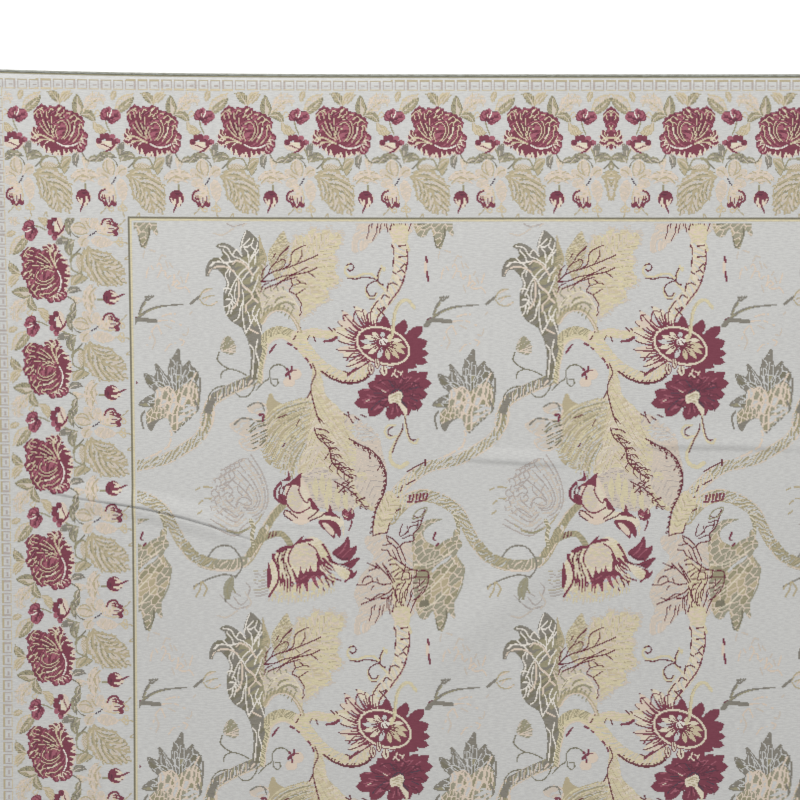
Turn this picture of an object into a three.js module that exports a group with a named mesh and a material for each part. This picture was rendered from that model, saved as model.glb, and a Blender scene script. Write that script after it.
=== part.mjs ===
// A flat-woven wool area rug, nominal 9 x 12 ft, lying on a floor with a few soft folds.
// Millimetres, +X across the rug, +Y along it to the head end, +Z up.
// The origin is on the floor under the middle of the rug.
import * as THREE from 'three';
import { mergeVertices } from 'three/addons/utils/BufferGeometryUtils.js';

const rug = {
  width: 2712, // corner to corner over the edge cords
  length: 3680,
  sideDrawIn: 26, // how far the middle of a long side lies inside its corners
  endDrawIn: 12, // the same for a short end
};
const cloth = { thickness: 4, columns: 34, color: 0xcac7c1 };
const edgeCord = { width: 6, height: 5, gap: 0.3, shoulder: 0.6, color: 0x9a9a94 };
const coarseRow = 118; // spacing of the cloth's rows away from the folds

// Rows of the mesh lie closer together where a fold needs them: bands along Y, with their spacing.
const fineBands = [
  { from: 560, to: 790, spacing: 46 },
  { from: 790, to: 1045, spacing: 15 },
];

// The folds in the lying cloth. A fold rises from its start to its end point, and is steeper on its
// foot side where lean is under 1. Height and half width are those of its crest.
const folds = [
  { name: 'side crease', from: [-1240, 934], to: [-760, 816], height: 6, halfWidth: 30, lean: 0.5 },
  { name: 'short crease', from: [-345, 999], to: [-95, 980], height: 5, halfWidth: 28, lean: 0.5 },
  { name: 'field crease', from: [60, 1021], to: [420, 1014], height: 5, halfWidth: 30, lean: 0.5 },
  { name: 'slanting swell', from: [-60, 830], to: [-470, 490], height: 8, halfWidth: 92, lean: 0.8 },
  { name: 'head swell', from: [-400, 1612], to: [560, 1588], height: 4, halfWidth: 90, lean: 0.8 },
  { name: 'corner swell', from: [-420, 1420], to: [120, 1532], height: 3, halfWidth: 95, lean: 1 },
  { name: 'middle swell', from: [240, 340], to: [960, 180], height: 6, halfWidth: 150, lean: 1 },
  { name: 'left swell', from: [-1050, -260], to: [-420, -520], height: 5, halfWidth: 150, lean: 1 },
  { name: 'foot swell', from: [120, -1180], to: [860, -1010], height: 6, halfWidth: 160, lean: 1 },
];

// Carries a point of the straight rug to where the uneven one has it: its four sides draw in.
function drawnIn(across, along) {
  const side = across / (rug.width / 2);
  const end = along / (rug.length / 2);
  const x = across * (1 - (rug.sideDrawIn / (rug.width / 2)) * (1 - end ** 2));
  const y = along - rug.endDrawIn * end ** 3 * (1 - side ** 4);
  return [x, y];
}

// Height of the folds over the floor at a point of the rug.
function foldHeight(x, y) {
  let height = 0;
  for (const fold of folds) {
    const start = new THREE.Vector2(...fold.from);
    const run = new THREE.Vector2(...fold.to).sub(start);
    const length = run.length();
    const direction = run.divideScalar(length);
    const offset = new THREE.Vector2(x, y).sub(start);
    const along = offset.dot(direction) / length;
    const across = direction.cross(offset);
    const footSide = direction.x > 0 ? across < 0 : across > 0;
    const reach = Math.abs(across) / (fold.halfWidth * (footSide ? fold.lean : 1));
    if (along <= 0 || along >= 1 || reach >= 1) continue;
    height += fold.height * Math.sin(Math.PI * along) * (1 - reach ** 2) ** 2;
  }
  return height;
}

// Stations from low to high with the given spacing, closer together inside the fine bands.
function rowStations(low, high) {
  const stops = [low, ...fineBands.flatMap((band) => [band.from, band.to]), high];
  const rows = [low];
  for (let i = 1; i < stops.length; i += 1) {
    const [from, to] = [stops[i - 1], stops[i]];
    const band = fineBands.find((one) => from >= one.from && to <= one.to);
    const steps = Math.max(0, Math.round((to - from) / (band ? band.spacing : coarseRow)));
    for (let k = 1; k <= steps; k += 1) rows.push(from + ((to - from) * k) / steps);
  }
  return rows;
}

function evenStations(low, high, steps) {
  return Array.from({ length: steps + 1 }, (_, i) => low + ((high - low) * i) / steps);
}

// A closed block whose columns and rows lie at the given stations; place gives each vertex its spot
// from the two stations and the level, which runs from 0 at the floor face to 1 at the top.
function shapedBlock(columns, rows, levels, place) {
  const [nx, ny] = [columns.length - 1, rows.length - 1];
  const block = new THREE.BoxGeometry(1, 1, 1, nx, ny, levels);
  block.deleteAttribute('normal');
  block.deleteAttribute('uv');
  const spots = block.attributes.position;
  for (let i = 0; i < spots.count; i += 1) {
    const column = Math.round((spots.getX(i) + 0.5) * nx);
    const row = Math.round((spots.getY(i) + 0.5) * ny);
    spots.setXYZ(i, ...place(columns[column], rows[row], spots.getZ(i) + 0.5));
  }
  return mergeVertices(block);
}

const halfCloth = {
  across: rug.width / 2 - edgeCord.width - edgeCord.gap,
  along: rug.length / 2 - edgeCord.width - edgeCord.gap,
};
const columns = evenStations(-halfCloth.across, halfCloth.across, cloth.columns);
const rows = rowStations(-halfCloth.along, halfCloth.along);

function clothGeometry() {
  return shapedBlock(columns, rows, 1, (across, along, level) => {
    const [x, y] = drawnIn(across, along);
    return [x, y, foldHeight(x, y) + level * cloth.thickness];
  });
}

// Half the width of the cord's section at a level from 0 to 1: full in the middle, rounded above
// and below it.
function cordHalfWidth(level) {
  return (edgeCord.width / 2) * (level === 0.5 ? 1 : edgeCord.shoulder);
}

// One edge cord. It follows an end of the rug (along X) or a side (along Y), on the given half.
function cordGeometry(followsEnd, half) {
  const sides = evenStations(-1, 1, 2);
  const middle = half * ((followsEnd ? rug.length : rug.width) / 2 - edgeCord.width / 2);
  const limit = rug.width / 2;
  const run = followsEnd ? [-limit, ...columns.slice(1, -1), limit] : rows;
  const place = (across, along, level) => {
    const side = followsEnd ? along : across;
    const offset = middle + side * cordHalfWidth(level);
    const [x, y] = followsEnd ? drawnIn(across, offset) : drawnIn(offset, along);
    return [x, y, level * edgeCord.height];
  };
  return followsEnd ? shapedBlock(run, sides, 2, place) : shapedBlock(sides, run, 2, place);
}

function mesh(name, geometry, color) {
  const material = new THREE.MeshStandardMaterial({ color, roughness: 0.95, metalness: 0 });
  const made = new THREE.Mesh(geometry, material);
  made.name = name;
  return made;
}

const model = new THREE.Group();
model.add(mesh('woven_cloth', clothGeometry(), cloth.color));
model.add(mesh('edge_cord_head', cordGeometry(true, 1), edgeCord.color));
model.add(mesh('edge_cord_foot', cordGeometry(true, -1), edgeCord.color));
model.add(mesh('edge_cord_left', cordGeometry(false, -1), edgeCord.color));
model.add(mesh('edge_cord_right', cordGeometry(false, 1), edgeCord.color));

export default model;
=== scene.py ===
# The looks of a flat-woven floral wool rug, seen from above. Metres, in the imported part's frame.
import math

import bpy
import numpy as np
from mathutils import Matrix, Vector


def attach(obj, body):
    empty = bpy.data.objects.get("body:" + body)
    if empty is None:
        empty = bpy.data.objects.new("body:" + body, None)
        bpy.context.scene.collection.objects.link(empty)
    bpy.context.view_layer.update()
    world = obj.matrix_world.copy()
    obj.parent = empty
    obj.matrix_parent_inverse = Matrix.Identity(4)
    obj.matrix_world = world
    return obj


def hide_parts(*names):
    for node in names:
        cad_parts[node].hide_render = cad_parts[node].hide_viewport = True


print("frame")
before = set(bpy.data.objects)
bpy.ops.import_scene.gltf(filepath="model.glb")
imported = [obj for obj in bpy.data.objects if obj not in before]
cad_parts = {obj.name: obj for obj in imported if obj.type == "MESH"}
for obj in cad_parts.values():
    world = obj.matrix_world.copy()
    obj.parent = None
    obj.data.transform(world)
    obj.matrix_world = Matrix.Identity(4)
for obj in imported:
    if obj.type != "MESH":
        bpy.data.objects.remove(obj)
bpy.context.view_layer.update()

rug = {
    "halfWidth": 1.356,
    "halfLength": 1.84,
    "across": 1270,  # stitches from edge to edge, cords and all
    "along": 1705,
    "crowding": 0.015,  # stitches lie closer together towards the sides
    "sideDrawIn": 0.026,
    "endDrawIn": 0.012,
    "cord": 0.006,
    "thickness": 0.004,
    "yarnLift": 0.0002,
}

yarns = {
    "ground": (202, 202, 199),
    "burgundy": (122, 58, 74),
    "plum": (98, 46, 62),
    "maroon": (106, 46, 58),
    "rose": (160, 94, 108),
    "peach": (216, 199, 180),
    "blush": (196, 186, 174),
    "straw": (213, 203, 166),
    "wheat": (204, 190, 160),
    "tan": (180, 168, 138),
    "olive": (154, 148, 120),
    "sage": (156, 152, 132),
    "slate": (134, 129, 118),
    "taupe": (180, 170, 164),
    "cream": (222, 212, 190),
    "white": (230, 224, 214),
    "ink": (76, 60, 74),
    "moss": (124, 119, 100),
}
yarnNames = list(yarns)


# A smooth line through given points.
def curve(points, isLoop=False, steps=6):
    p = np.array(points, float)
    if isLoop:
        p = np.vstack([p[-1:], p, p[:2]])
    else:
        p = np.vstack([2 * p[0] - p[1], p, 2 * p[-1] - p[-2]])
    u = np.linspace(0, 1, steps, endpoint=False)[:, None]
    spans = []
    for a, b, c, d in zip(p[:-3], p[1:-2], p[2:-1], p[3:]):
        spans.append(
            b
            + 0.5 * (c - a) * u
            + (a - 2.5 * b + 2 * c - 0.5 * d) * u**2
            + 0.5 * (3 * b - a - 3 * c + d) * u**3
        )
    if not isLoop:
        spans.append(p[-2:-1])
    return np.vstack(spans)


def loop(points, steps=6):
    return curve(points, True, steps)


def closed(outline):
    return np.vstack([outline, outline[:1]])


# The middle line of a leaf or petal, bowed to its left by a share of its length.
def spine(base, tip, bend=0.0, steps=12):
    base, tip = np.array(base, float), np.array(tip, float)
    run = tip - base
    u = np.linspace(0, 1, steps + 1)[:, None]
    return base + run * u + np.array([run[1], -run[0]]) * bend * 4 * u * (1 - u)


# The outline of a leaf or petal: belly is where it is widest, blunt under 1 rounds its ends.
def petal(base, tip, width, bend=0.0, belly=0.5, blunt=0.8, steps=12):
    middle = spine(base, tip, bend, steps)
    run = np.gradient(middle, axis=0)
    side = np.stack([-run[:, 1], run[:, 0]], 1) / np.hypot(*run.T)[:, None]
    u = np.linspace(0, 1, steps + 1)
    reach = np.sin(math.pi * u ** (math.log(0.5) / math.log(belly))).clip(0, 1) ** blunt
    out = side * (width / 2 * reach)[:, None]
    return np.vstack([middle + out, (middle - out)[::-1]])


def oval(middle, across, along, turn=0.0, steps=28):
    a = np.linspace(0, 2 * math.pi, steps, endpoint=False)
    x, y = across / 2 * np.cos(a), along / 2 * np.sin(a)
    c, s = math.cos(math.radians(turn)), math.sin(math.radians(turn))
    return np.stack([middle[0] + x * c - y * s, middle[1] + x * s + y * c], 1)


# Steps along a line, at even spacing.
def evenly(path, spacing):
    path = np.array(path, float)
    lengths = np.concatenate([[0], np.cumsum(np.hypot(*np.diff(path, axis=0).T))])
    count = max(2, int(round(lengths[-1] / spacing)) + 1)
    spots = np.linspace(0, lengths[-1], count)
    return np.stack([np.interp(spots, lengths, path[:, i]) for i in (0, 1)], 1)


# An outline whose edge steps out in teeth.
def ragged(outline, depth, pitch, seed, lean=0.0):
    rng = np.random.default_rng(seed)
    p = evenly(closed(outline), pitch / 2)[:-1]
    run = np.roll(p, -1, 0) - np.roll(p, 1, 0)
    run /= np.maximum(np.hypot(*run.T), 1e-6)[:, None]
    turn = np.sign(np.sum(p[:, 0] * np.roll(p[:, 1], -1) - np.roll(p[:, 0], -1) * p[:, 1]))
    out = np.stack([run[:, 1], -run[:, 0]], 1) * turn
    size = depth * rng.uniform(0.5, 1.3, len(p)) * (np.arange(len(p)) % 2)
    return p + (out + run * lean) * size[:, None]


# For each place: how far along the line its nearest point is, how far off it lies (under 0 on
# the side of falling y where the line runs to the right), and the line's length.
def besidePath(path, x, y):
    near, along, off, length = np.full(x.shape, 1e9), np.zeros(x.shape), np.zeros(x.shape), 0.0
    for a, b in zip(path[:-1], path[1:]):
        run = b - a
        size = max(np.hypot(*run), 1e-6)
        u = np.clip(((x - a[0]) * run[0] + (y - a[1]) * run[1]) / size**2, 0, 1)
        dx, dy = x - a[0] - u * run[0], y - a[1] - u * run[1]
        d = np.hypot(dx, dy)
        closer = d < near
        near = np.where(closer, d, near)
        along = np.where(closer, length + u * size, along)
        off = np.where(closer, np.where(run[0] * dy - run[1] * dx < 0, -d, d), off)
        length += size
    return along, off, length


class Chart:
    # A table of stitches that repeats both ways. Shapes are set in units of its own, with the
    # corner's place and the stitches in a unit given.
    def __init__(self, across, along, corner=(0, 0), grain=(1, 1)):
        self.cells = np.zeros((along, across), np.uint8)
        self.corner, self.grain = np.array(corner, float), np.array(grain, float)

    def stitches(self, points):
        return (np.array(points, float) - self.corner) * self.grain

    def window(self, points, margin):
        low = np.floor(points.min(0)).astype(int) - margin
        high = np.ceil(points.max(0)).astype(int) + margin
        columns, rows = np.arange(low[0], high[0]), np.arange(low[1], high[1])
        x, y = np.meshgrid(columns + 0.5, rows + 0.5)
        return np.ix_(rows % self.cells.shape[0], columns % self.cells.shape[1]), x, y

    def put(self, spot, mask, yarn):
        held = self.cells[spot]
        held[mask] = yarnNames.index(yarn)
        self.cells[spot] = held

    def holds(self, spot, yarnsUnder):
        return np.isin(self.cells[spot], [yarnNames.index(yarn) for yarn in yarnsUnder])

    def inside(self, outline, x, y):
        hit = np.zeros(x.shape, bool)
        for (ax, ay), (bx, by) in zip(outline, np.roll(outline, -1, 0)):
            if ay != by:
                hit ^= ((ay > y) != (by > y)) & (x < ax + (y - ay) * (bx - ax) / (by - ay))
        return hit

    def fill(self, outline, yarn, edge=None, width=1.0, over=None):
        outline = self.stitches(outline)
        spot, x, y = self.window(outline, 3)
        mask = self.inside(outline, x, y)
        if over is not None:
            mask &= self.holds(spot, over)
        if yarn:
            self.put(spot, mask, yarn)
        if edge:
            off = besidePath(closed(outline), x, y)[1]
            self.put(spot, np.abs(off) <= width / 2, edge)

    def stroke(self, path, yarn, width=1.1, tip=None, over=None, gaps=0.0, seed=1):
        path = self.stitches(path)
        spot, x, y = self.window(path, int(max(width, tip or 0)) + 2)
        along, off, length = besidePath(path, x, y)
        reach = width if tip is None else width + (tip - width) * along / length
        mask = np.abs(off) <= reach / 2
        if gaps:
            beat = np.random.default_rng(seed).random(int(length / 2.5) + 2)
            mask &= beat[(along / 2.5).astype(int)] > gaps
        if over is not None:
            mask &= self.holds(spot, over)
        self.put(spot, mask, yarn)

    # Smooth lines of one yarn, each through its own points.
    def lines(self, yarn, width, *paths, **more):
        for points in paths:
            self.stroke(curve(points), yarn, width, **more)

    # A line with twigs on both sides of it.
    def twigs(self, path, yarn, spacing, length, angle=50, seed=1, width=1.1, sides=(-1, 1), fork=0):
        rng = np.random.default_rng(seed)
        self.stroke(path, yarn, width)
        spots = evenly(path, spacing)
        for i in range(1, len(spots) - 1):
            run = spots[i + 1] - spots[i - 1]
            heading = math.atan2(run[1], run[0])
            side = sides[i % len(sides)]
            turn = heading + side * math.radians(angle * rng.uniform(0.7, 1.25))
            reach = length * rng.uniform(0.5, 1.3) * (1 - 0.4 * i / len(spots))
            tip = spots[i] + reach * np.array([math.cos(turn), math.sin(turn)])
            self.stroke(spine(spots[i], tip, -side * 0.12, 5), yarn, min(width, 1.1))
            if fork:
                back = turn - side * math.radians(55)
                start = spots[i] + (tip - spots[i]) * 0.45
                end = start + reach * 0.45 * np.array([math.cos(back), math.sin(back)])
                self.stroke(np.array([start, end]), yarn, 1.0)

    # A leaf split into long cells by a net of lines, as in inlaid work. The cells lie along turn,
    # or point away from a hub.
    def mosaic(self, outline, cells, net, size, turn, seed, wide=False, edge=None, hub=None):
        outline = self.stitches(outline)
        spot, x, y = self.window(outline, 3)
        mask = self.inside(outline, x, y)
        c, s = math.cos(math.radians(turn)), math.sin(math.radians(turn))
        u, v = (x * c + y * s) / size[0], (y * c - x * s) / size[1]
        if hub:
            dx, dy = x - self.stitches(hub)[0], y - self.stitches(hub)[1]
            reach = np.hypot(dx, dy)
            u, v = np.arctan2(dx, -dy) * reach[mask].mean() / size[0], reach / size[1]
        table = np.random.default_rng(seed).random((3, 61, 67))
        near, own = np.full(x.shape, 9.0), np.zeros(x.shape, int)
        for i in (-1, 0, 1):
            for j in (-1, 0, 1):
                a, b = np.floor(u).astype(int) + i, np.floor(v).astype(int) + j
                overU = a + 0.1 + 0.8 * table[0, a % 61, b % 67] - u
                overV = b + 0.1 + 0.8 * table[1, a % 61, b % 67] - v
                d = np.hypot(overU, overV)
                own = np.where(d < near, a % 61 * 67 + b % 67, own)
                near = np.minimum(d, near)
        part = (table[2].ravel()[own] * len(cells)).astype(int)
        for i, yarn in enumerate(cells):
            self.put(spot, mask & (part == i), yarn)
        border = (own != np.roll(own, 1, 0)) | (own != np.roll(own, 1, 1))
        if wide:
            border |= np.roll(border, 1, 1)
        self.put(spot, mask & border, net)
        if edge:
            off = besidePath(closed(outline), x, y)[1]
            self.put(spot, np.abs(off) <= 0.55, edge)

    # Fine lines that sweep off a midrib to both sides, broken here and there.
    def feather(self, outline, rib, yarn, pitch, slant=1.0, share=0.35, seed=1, broken=0.25, over=None):
        outline, rib = self.stitches(outline), self.stitches(rib)
        spot, x, y = self.window(outline, 2)
        mask = self.inside(outline, x, y)
        along, off, _ = besidePath(rib, x, y)
        table = np.random.default_rng(seed).random((97, 89))
        line = (along - np.abs(off) * slant) / pitch
        drift = table[(np.abs(off) / 5).astype(int) % 97, (off > 0).astype(int)] * 0.5
        index = np.floor(line + drift).astype(int)
        mask &= (line + drift) % 1 < share
        mask &= table[index % 97, (np.abs(off) / 3.5).astype(int) % 89] > broken
        if over is not None:
            mask &= self.holds(spot, over)
        self.put(spot, mask, yarn)

    # A leaf in two tones: veins sweep over it and one of its edges is dark.
    def leaf(self, base, tip, width, bend, belly, body, shade, seed=3):
        outline, rib = petal(base, tip, width, bend, belly), spine(base, tip, bend)
        self.fill(outline, body)
        count = len(outline) // 2
        self.feather(outline, rib, shade, 3.1, 1.1, 0.42, seed, 0.2)
        near = np.vstack([rib, outline[: count : -1]])
        self.feather(near, rib, shade, 2.0, 1.1, 0.5, seed + 1, 0.1)
        self.stroke(outline[:count], shade, 1.1, gaps=0.15, seed=seed)
        self.stroke(rib[:-2], "blush" if body != "blush" else "tan", 1.0, gaps=0.2, seed=seed)

    # Short level dashes of another yarn, for a heathered patch.
    def fleck(self, outline, yarn, share, seed, size=(3, 1), over=None):
        outline = self.stitches(outline)
        spot, x, y = self.window(outline, 1)
        table = np.random.default_rng(seed).random((101, 103))
        grain = table[(y / size[1]).astype(int) % 101, ((x + 1.7 * y) / size[0]).astype(int) % 103]
        mask = self.inside(outline, x, y) & (grain < share)
        if over is not None:
            mask &= self.holds(spot, over)
        self.put(spot, mask, yarn)

    # A stem of even or changing width, with bars across it and an edge on one or both sides.
    def stem(self, path, width, body, bars=(), edges=(None, None), tip=None, slant=0.6):
        path = self.stitches(path)
        wide = max(width, tip or 0)
        spot, x, y = self.window(path, int(wide) + 2)
        along, off, length = besidePath(path, x, y)
        reach = width if tip is None else width + (tip - width) * along / length
        mask = np.abs(off) <= reach / 2
        self.put(spot, mask, body)
        wobble = np.sin(along * 0.55) + np.sin(along * 0.23 + 1)
        for yarn, pitch, share, low, high in bars:
            inner = (off >= reach * low / 2) & (off <= reach * high / 2)
            self.put(spot, mask & inner & ((along + slant * off + wobble) % pitch < share), yarn)
        left, right = edges
        if left:
            self.put(spot, mask & (off < -reach / 2 + 1.1), left)
        if right:
            self.put(spot, mask & (off > reach / 2 - 1.1), right)


def borderUnit():
    unit = Chart(96, 148)
    fill, stroke, lines = unit.fill, unit.stroke, unit.lines

    # Pale flowers and leaves that lie behind.
    for base, tip, width, bend in (
        ((24, 38), (42, 22.5), 12, -0.06),
        ((86, 42), (97, 21), 14, -0.12),
        ((90, 43), (104, 27), 9, 0.1),
        ((12, 34), (6, 22), 9, 0.0),
        ((84, 86), (89, 97), 8, 0.1),
    ):
        outline = petal(base, tip, width, bend)
        unit.fleck(outline, "peach", 0.45, 5)
        unit.fleck(outline, "wheat", 0.2, 6)
        unit.feather(outline, spine(base, tip, bend), "blush", 3.2, 0.8, 0.45, 8)
        stroke(spine(base, tip, bend), "wheat", 1.0, gaps=0.3, seed=4)
    lines("wheat", 1.4, ((23.5, 39), (26, 30), (33, 25), (42, 23)))
    lines("peach", 1.2, ((86, 43), (89, 33), (96, 24), (101, 22)), gaps=0.2)
    lines("tan", 1.0, ((88, 40), (96, 33), (101, 29)), gaps=0.35)
    lines("wheat", 1.2, ((98, 44), (101, 40), (104, 43), (100, 46)))

    leaves = (
        # base, tip, width, bend, belly, yarn, shade
        ((20.5, 30.5), (25, 19.5), 5.5, 0.12, 0.5, "wheat", "tan"),
        ((25.5, 41), (43, 26), 8, -0.02, 0.42, "tan", "olive"),
        ((61.5, 34), (50, 22.3), 8.5, -0.14, 0.5, "tan", "olive"),
        ((62.5, 33), (73.5, 21), 6, 0.16, 0.5, "blush", "wheat"),
        ((66, 32), (75, 23.5), 4, 0.1, 0.5, "wheat", "tan"),
        ((82.5, 44), (80.5, 24), 11, 0.06, 0.4, "tan", "olive"),
        ((84, 44), (98, 51.5), 8, 0.26, 0.5, "tan", "olive"),
        ((97, 50.5), (110, 59.5), 9, -0.2, 0.55, "wheat", "tan"),
        ((28, 85.5), (31.8, 70.5), 7, 0.12, 0.5, "sage", "slate"),
        ((28, 90), (44, 88), 9, 0.3, 0.45, "sage", "olive"),
        ((81.3, 82), (78.3, 96.5), 7, -0.16, 0.45, "sage", "slate"),
        ((90, 91), (103, 87.6), 6, 0.14, 0.5, "sage", "olive"),
        ((98, 91), (119, 86.5), 9, 0.2, 0.45, "sage", "olive"),
    )
    for i, (base, tip, width, bend, belly, yarn, shade) in enumerate(leaves):
        unit.leaf(base, tip, width, bend, belly, yarn, shade, 3 + i)
        unit.fleck(petal(base, tip, width, bend, belly), "slate", 0.5, 40 + i, size=(4, 2), over=("sage",))
        unit.fleck(petal(base, tip, width, bend, belly), "moss", 0.3, 60 + i, size=(3, 1), over=("olive",))
    # The dark diamond leaf has a pale heart.
    fill(petal((81.5, 43), (82, 34), 4.5), "blush")
    lines("olive", 1.2, ((80, 24), (77, 31), (76.5, 36), (79, 41)))
    lines("moss", 1.3, ((115, 88), (119, 91), (121, 97)), ((84.5, 83), (87, 87), (91, 90.5), (95, 90)))
    lines("olive", 1.3, ((13.5, 49), (14.5, 54), (17.8, 61)))
    lines("olive", 1.5, ((22, 75), (25.5, 81), (27.6, 90)))
    lines("moss", 1.3, ((43, 89.5), (39.5, 93), (34.5, 97.5)))
    lines("olive", 1.3, ((41, 90), (45, 86.5), (49, 85.5)))

    # A hollow leaf pair below the large bloom.
    fill(petal((60, 95), (40.5, 93.5), 12, 0.16), "blush")
    unit.feather(petal((60, 95), (40.5, 93.5), 12, 0.16), spine((60, 95), (40.5, 93.5), 0.1), "tan", 2.8,
        1.2, 0.5, 6)
    lines("olive", 1.6, ((60, 97), (52, 98.5), (44, 98), (41, 95), (44, 89), (50, 86.5), (57, 87.5),
        (61, 95)))
    fill(loop([(61, 96), (63, 89), (68, 86), (73, 86.5), (72, 92), (69, 97), (66.3, 103), (62.5, 99)]),
        "tan")
    lines("blush", 1.2, ((61, 97), (65, 91), (72, 87)))
    lines("olive", 1.6, ((62, 98), (66, 96), (70, 91)))
    lines("olive", 1.2, ((61, 95), (64, 101), (66, 103), (71, 96)), ((63.3, 81), (64, 86), (62.5, 92),
        (60.5, 97)))

    # The feathery leaf that hangs.
    outline = loop(
        [(35, 103), (44, 98.5), (54, 101), (64, 106), (70.5, 113), (72, 124), (70.5, 140), (68, 143),
         (66, 137), (62, 136), (60, 142), (55, 138), (50, 137), (46, 128), (41, 127), (38.5, 114)], 4)
    outline = ragged(outline, 1.6, 4.6, 19)
    fill(outline, "blush")
    rib = curve([(34, 104), (45, 110), (56, 122), (61, 141)])
    unit.feather(outline, rib, "tan", 7.2, 1.4, 0.42, 11, 0.08)
    unit.feather(outline, rib, "olive", 7.2, 1.4, 0.36, 11, 0.2)
    unit.feather(outline, rib, "wheat", 9.1, 1.4, 0.14, 12, 0.3)
    unit.fleck(outline, "ground", 0.22, 16, size=(2, 3), over=("blush",))
    stroke(outline, "tan", 1.3, gaps=0.3, seed=3)
    stroke(rib, "tan", 1.8)
    lines("tan", 3.0, ((34, 104.5), (46, 104), (58, 107), (68, 112)), tip=1.6)
    lines("tan", 2.2, ((36, 104), (42, 99.5), (50, 98), (58, 100)))
    lines("tan", 1.6, ((38, 106), (39, 117), (42, 127), (46, 131)))
    for x in (46, 51, 57, 64, 68):
        lines("tan", 1.3, ((x - 3, 112 + (x - 46) * 0.2), (x, 121), (x + 1.5, 134)))

    # Blossom of broad pale petals with a scalloped lip.
    for base, tip, width, bend, belly in (
        ((19, 107), (14, 86.5), 13, 0.0, 0.55),
        ((18, 108), (3.5, 97), 11, 0.1, 0.6),
        ((17, 109), (3, 113), 10, 0.0, 0.55),
        ((22, 107), (34, 96), 12, 0.05, 0.6),
        ((26, 107), (29.5, 131), 12, 0.05, 0.45),
        ((19, 112), (10, 134), 12, 0.1, 0.6),
        ((72, 106), (87, 98), 9, -0.1, 0.5),
        ((100, 106), (87, 98), 9, 0.1, 0.5),
    ):
        outline = petal(base, tip, width, bend, belly, 0.6)
        fill(outline, "peach")
        fill(np.mean(outline, 0) + 0.8 * (outline - np.mean(outline, 0)), "blush")
        unit.feather(outline, spine(base, tip, bend), "wheat", 4.3, 0.7, 0.2, 14, 0.4)
        unit.fleck(outline, "peach", 0.25, 15, size=(3, 2))
        stroke(outline, "ground", 1.1, gaps=0.12, seed=6)
    for start, end, bend in (
        ((17, 104), (14, 89), 0.12),
        ((20, 104), (20, 91), -0.1),
        ((17, 103), (11, 91), 0.3),
        ((25, 103), (33, 98), 0.15),
        ((8, 103), (15, 108), 0.1),
    ):
        stroke(spine(start, end, bend), "tan", 1.3, gaps=0.1)
    fill(oval((24, 108), 5, 9, 25), "ground")
    for x, y in ((22.3, 107.3), (20.6, 109.6), (20, 111.4), (18.4, 113.3)):
        fill(oval((x, y), 2.1, 1.9), "ink")
    lip = ((11.5, 119), (7, 121), (4.6, 125), (6, 129), (9.5, 131), (11, 134.5), (14.5, 135.8), (17.5, 134),
        (20.8, 134.8), (21.8, 132))
    cheek = loop([(16, 112), (8, 119), (5, 125), (8, 131), (14, 135), (21, 133), (21, 120)])
    fill(cheek, "peach")
    unit.fleck(cheek, "ground", 0.4, 4)
    unit.fleck(cheek, "wheat", 0.2, 5)
    stroke(curve(lip), "burgundy", 1.7, 2.6)
    fill(petal((17, 130), (20.5, 135.5), 4.5), "burgundy")
    fill(petal((11, 130), (13.5, 136), 3.4), "burgundy")
    lines("burgundy", 1.0, ((8, 119.5), (6, 123), (7.5, 127), (11, 128.5), (13, 132)), gaps=0.15)
    for start, end in (((12, 131), (10, 124)), ((15.6, 131), (15.4, 126)), ((19, 132), (19.5, 125)),
            ((9, 128), (8, 124))):
        stroke(np.array([start, end]), "burgundy", 1.5, 0.9)
    lines("wheat", 1.2, ((20.5, 118), (22, 125), (21.5, 131)))

    # Pale hooded bud.
    fill(loop([(71.5, 110), (74, 103.5), (80, 99.5), (88, 98.5), (96, 101), (100.5, 105), (99, 109),
        (92, 104.5), (85, 104), (78, 107)]), "peach")
    fill(loop([(75, 113), (78, 107), (85, 103.5), (91, 106), (97, 112), (90, 110), (85, 112), (80, 110)]),
        "peach")
    unit.fleck(oval((86, 105), 32, 18), "blush", 0.45, 17, over=("peach",))
    unit.fleck(oval((86, 105), 32, 18), "tan", 0.15, 18, over=("peach", "blush"))
    lines("blush", 1.2, ((73, 108), (79, 103), (87, 101.5), (94, 103.5)))
    lines("tan", 1.2, ((75, 112), (79, 107.5), (85, 105), (91, 108)))
    lines("peach", 1.6, ((86, 92), (86.6, 97), (88, 101)))

    # Drooping bud.
    lines("olive", 1.7, ((86.8, 113.5), (86.8, 119.5)))
    fill(petal((85, 119), (85.5, 137), 15, 0, 0.42), "peach")
    fill(loop([(77.5, 128), (78, 123), (82, 119.5), (87, 119), (90.5, 122), (91.8, 127.5), (90, 130),
        (88.5, 126), (86, 133), (84, 128), (81, 130), (79.6, 126.5)]), "burgundy")
    unit.fleck(oval((84.5, 122), 9, 4), "plum", 0.5, 3)
    lines("burgundy", 2.2, ((85, 126), (84.5, 133), (82.5, 138), (81.3, 141)), tip=1.6)
    lines("burgundy", 1.2, ((77.6, 127), (79, 131), (81, 134)), gaps=0.2)
    lines("burgundy", 1.3, ((91.5, 127), (90.5, 132), (88.5, 134)), gaps=0.2)
    lines("cream", 1.2, ((83, 128), (82, 132), (83, 135)), ((87.5, 127), (88, 131), (87, 136)))

    # Small sprigs at the foot.
    for points, yarn in (
        (((12.5, 136), (10, 140), (6.5, 143)), "tan"),
        (((13.5, 137), (16, 141)), "wheat"),
        (((29, 131), (28.5, 137), (29.5, 143)), "wheat"),
        (((29.5, 143), (31, 147)), "tan"),
        (((43, 147), (46, 142), (47, 147)), "tan"),
    ):
        stroke(curve(points), yarn, 1.2)
    for spot in ((17.5, 139), (26.5, 138), (31.5, 138.5), (29, 136)):
        fill(oval(spot, 4.2, 4), None, "wheat", 1.3)

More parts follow.
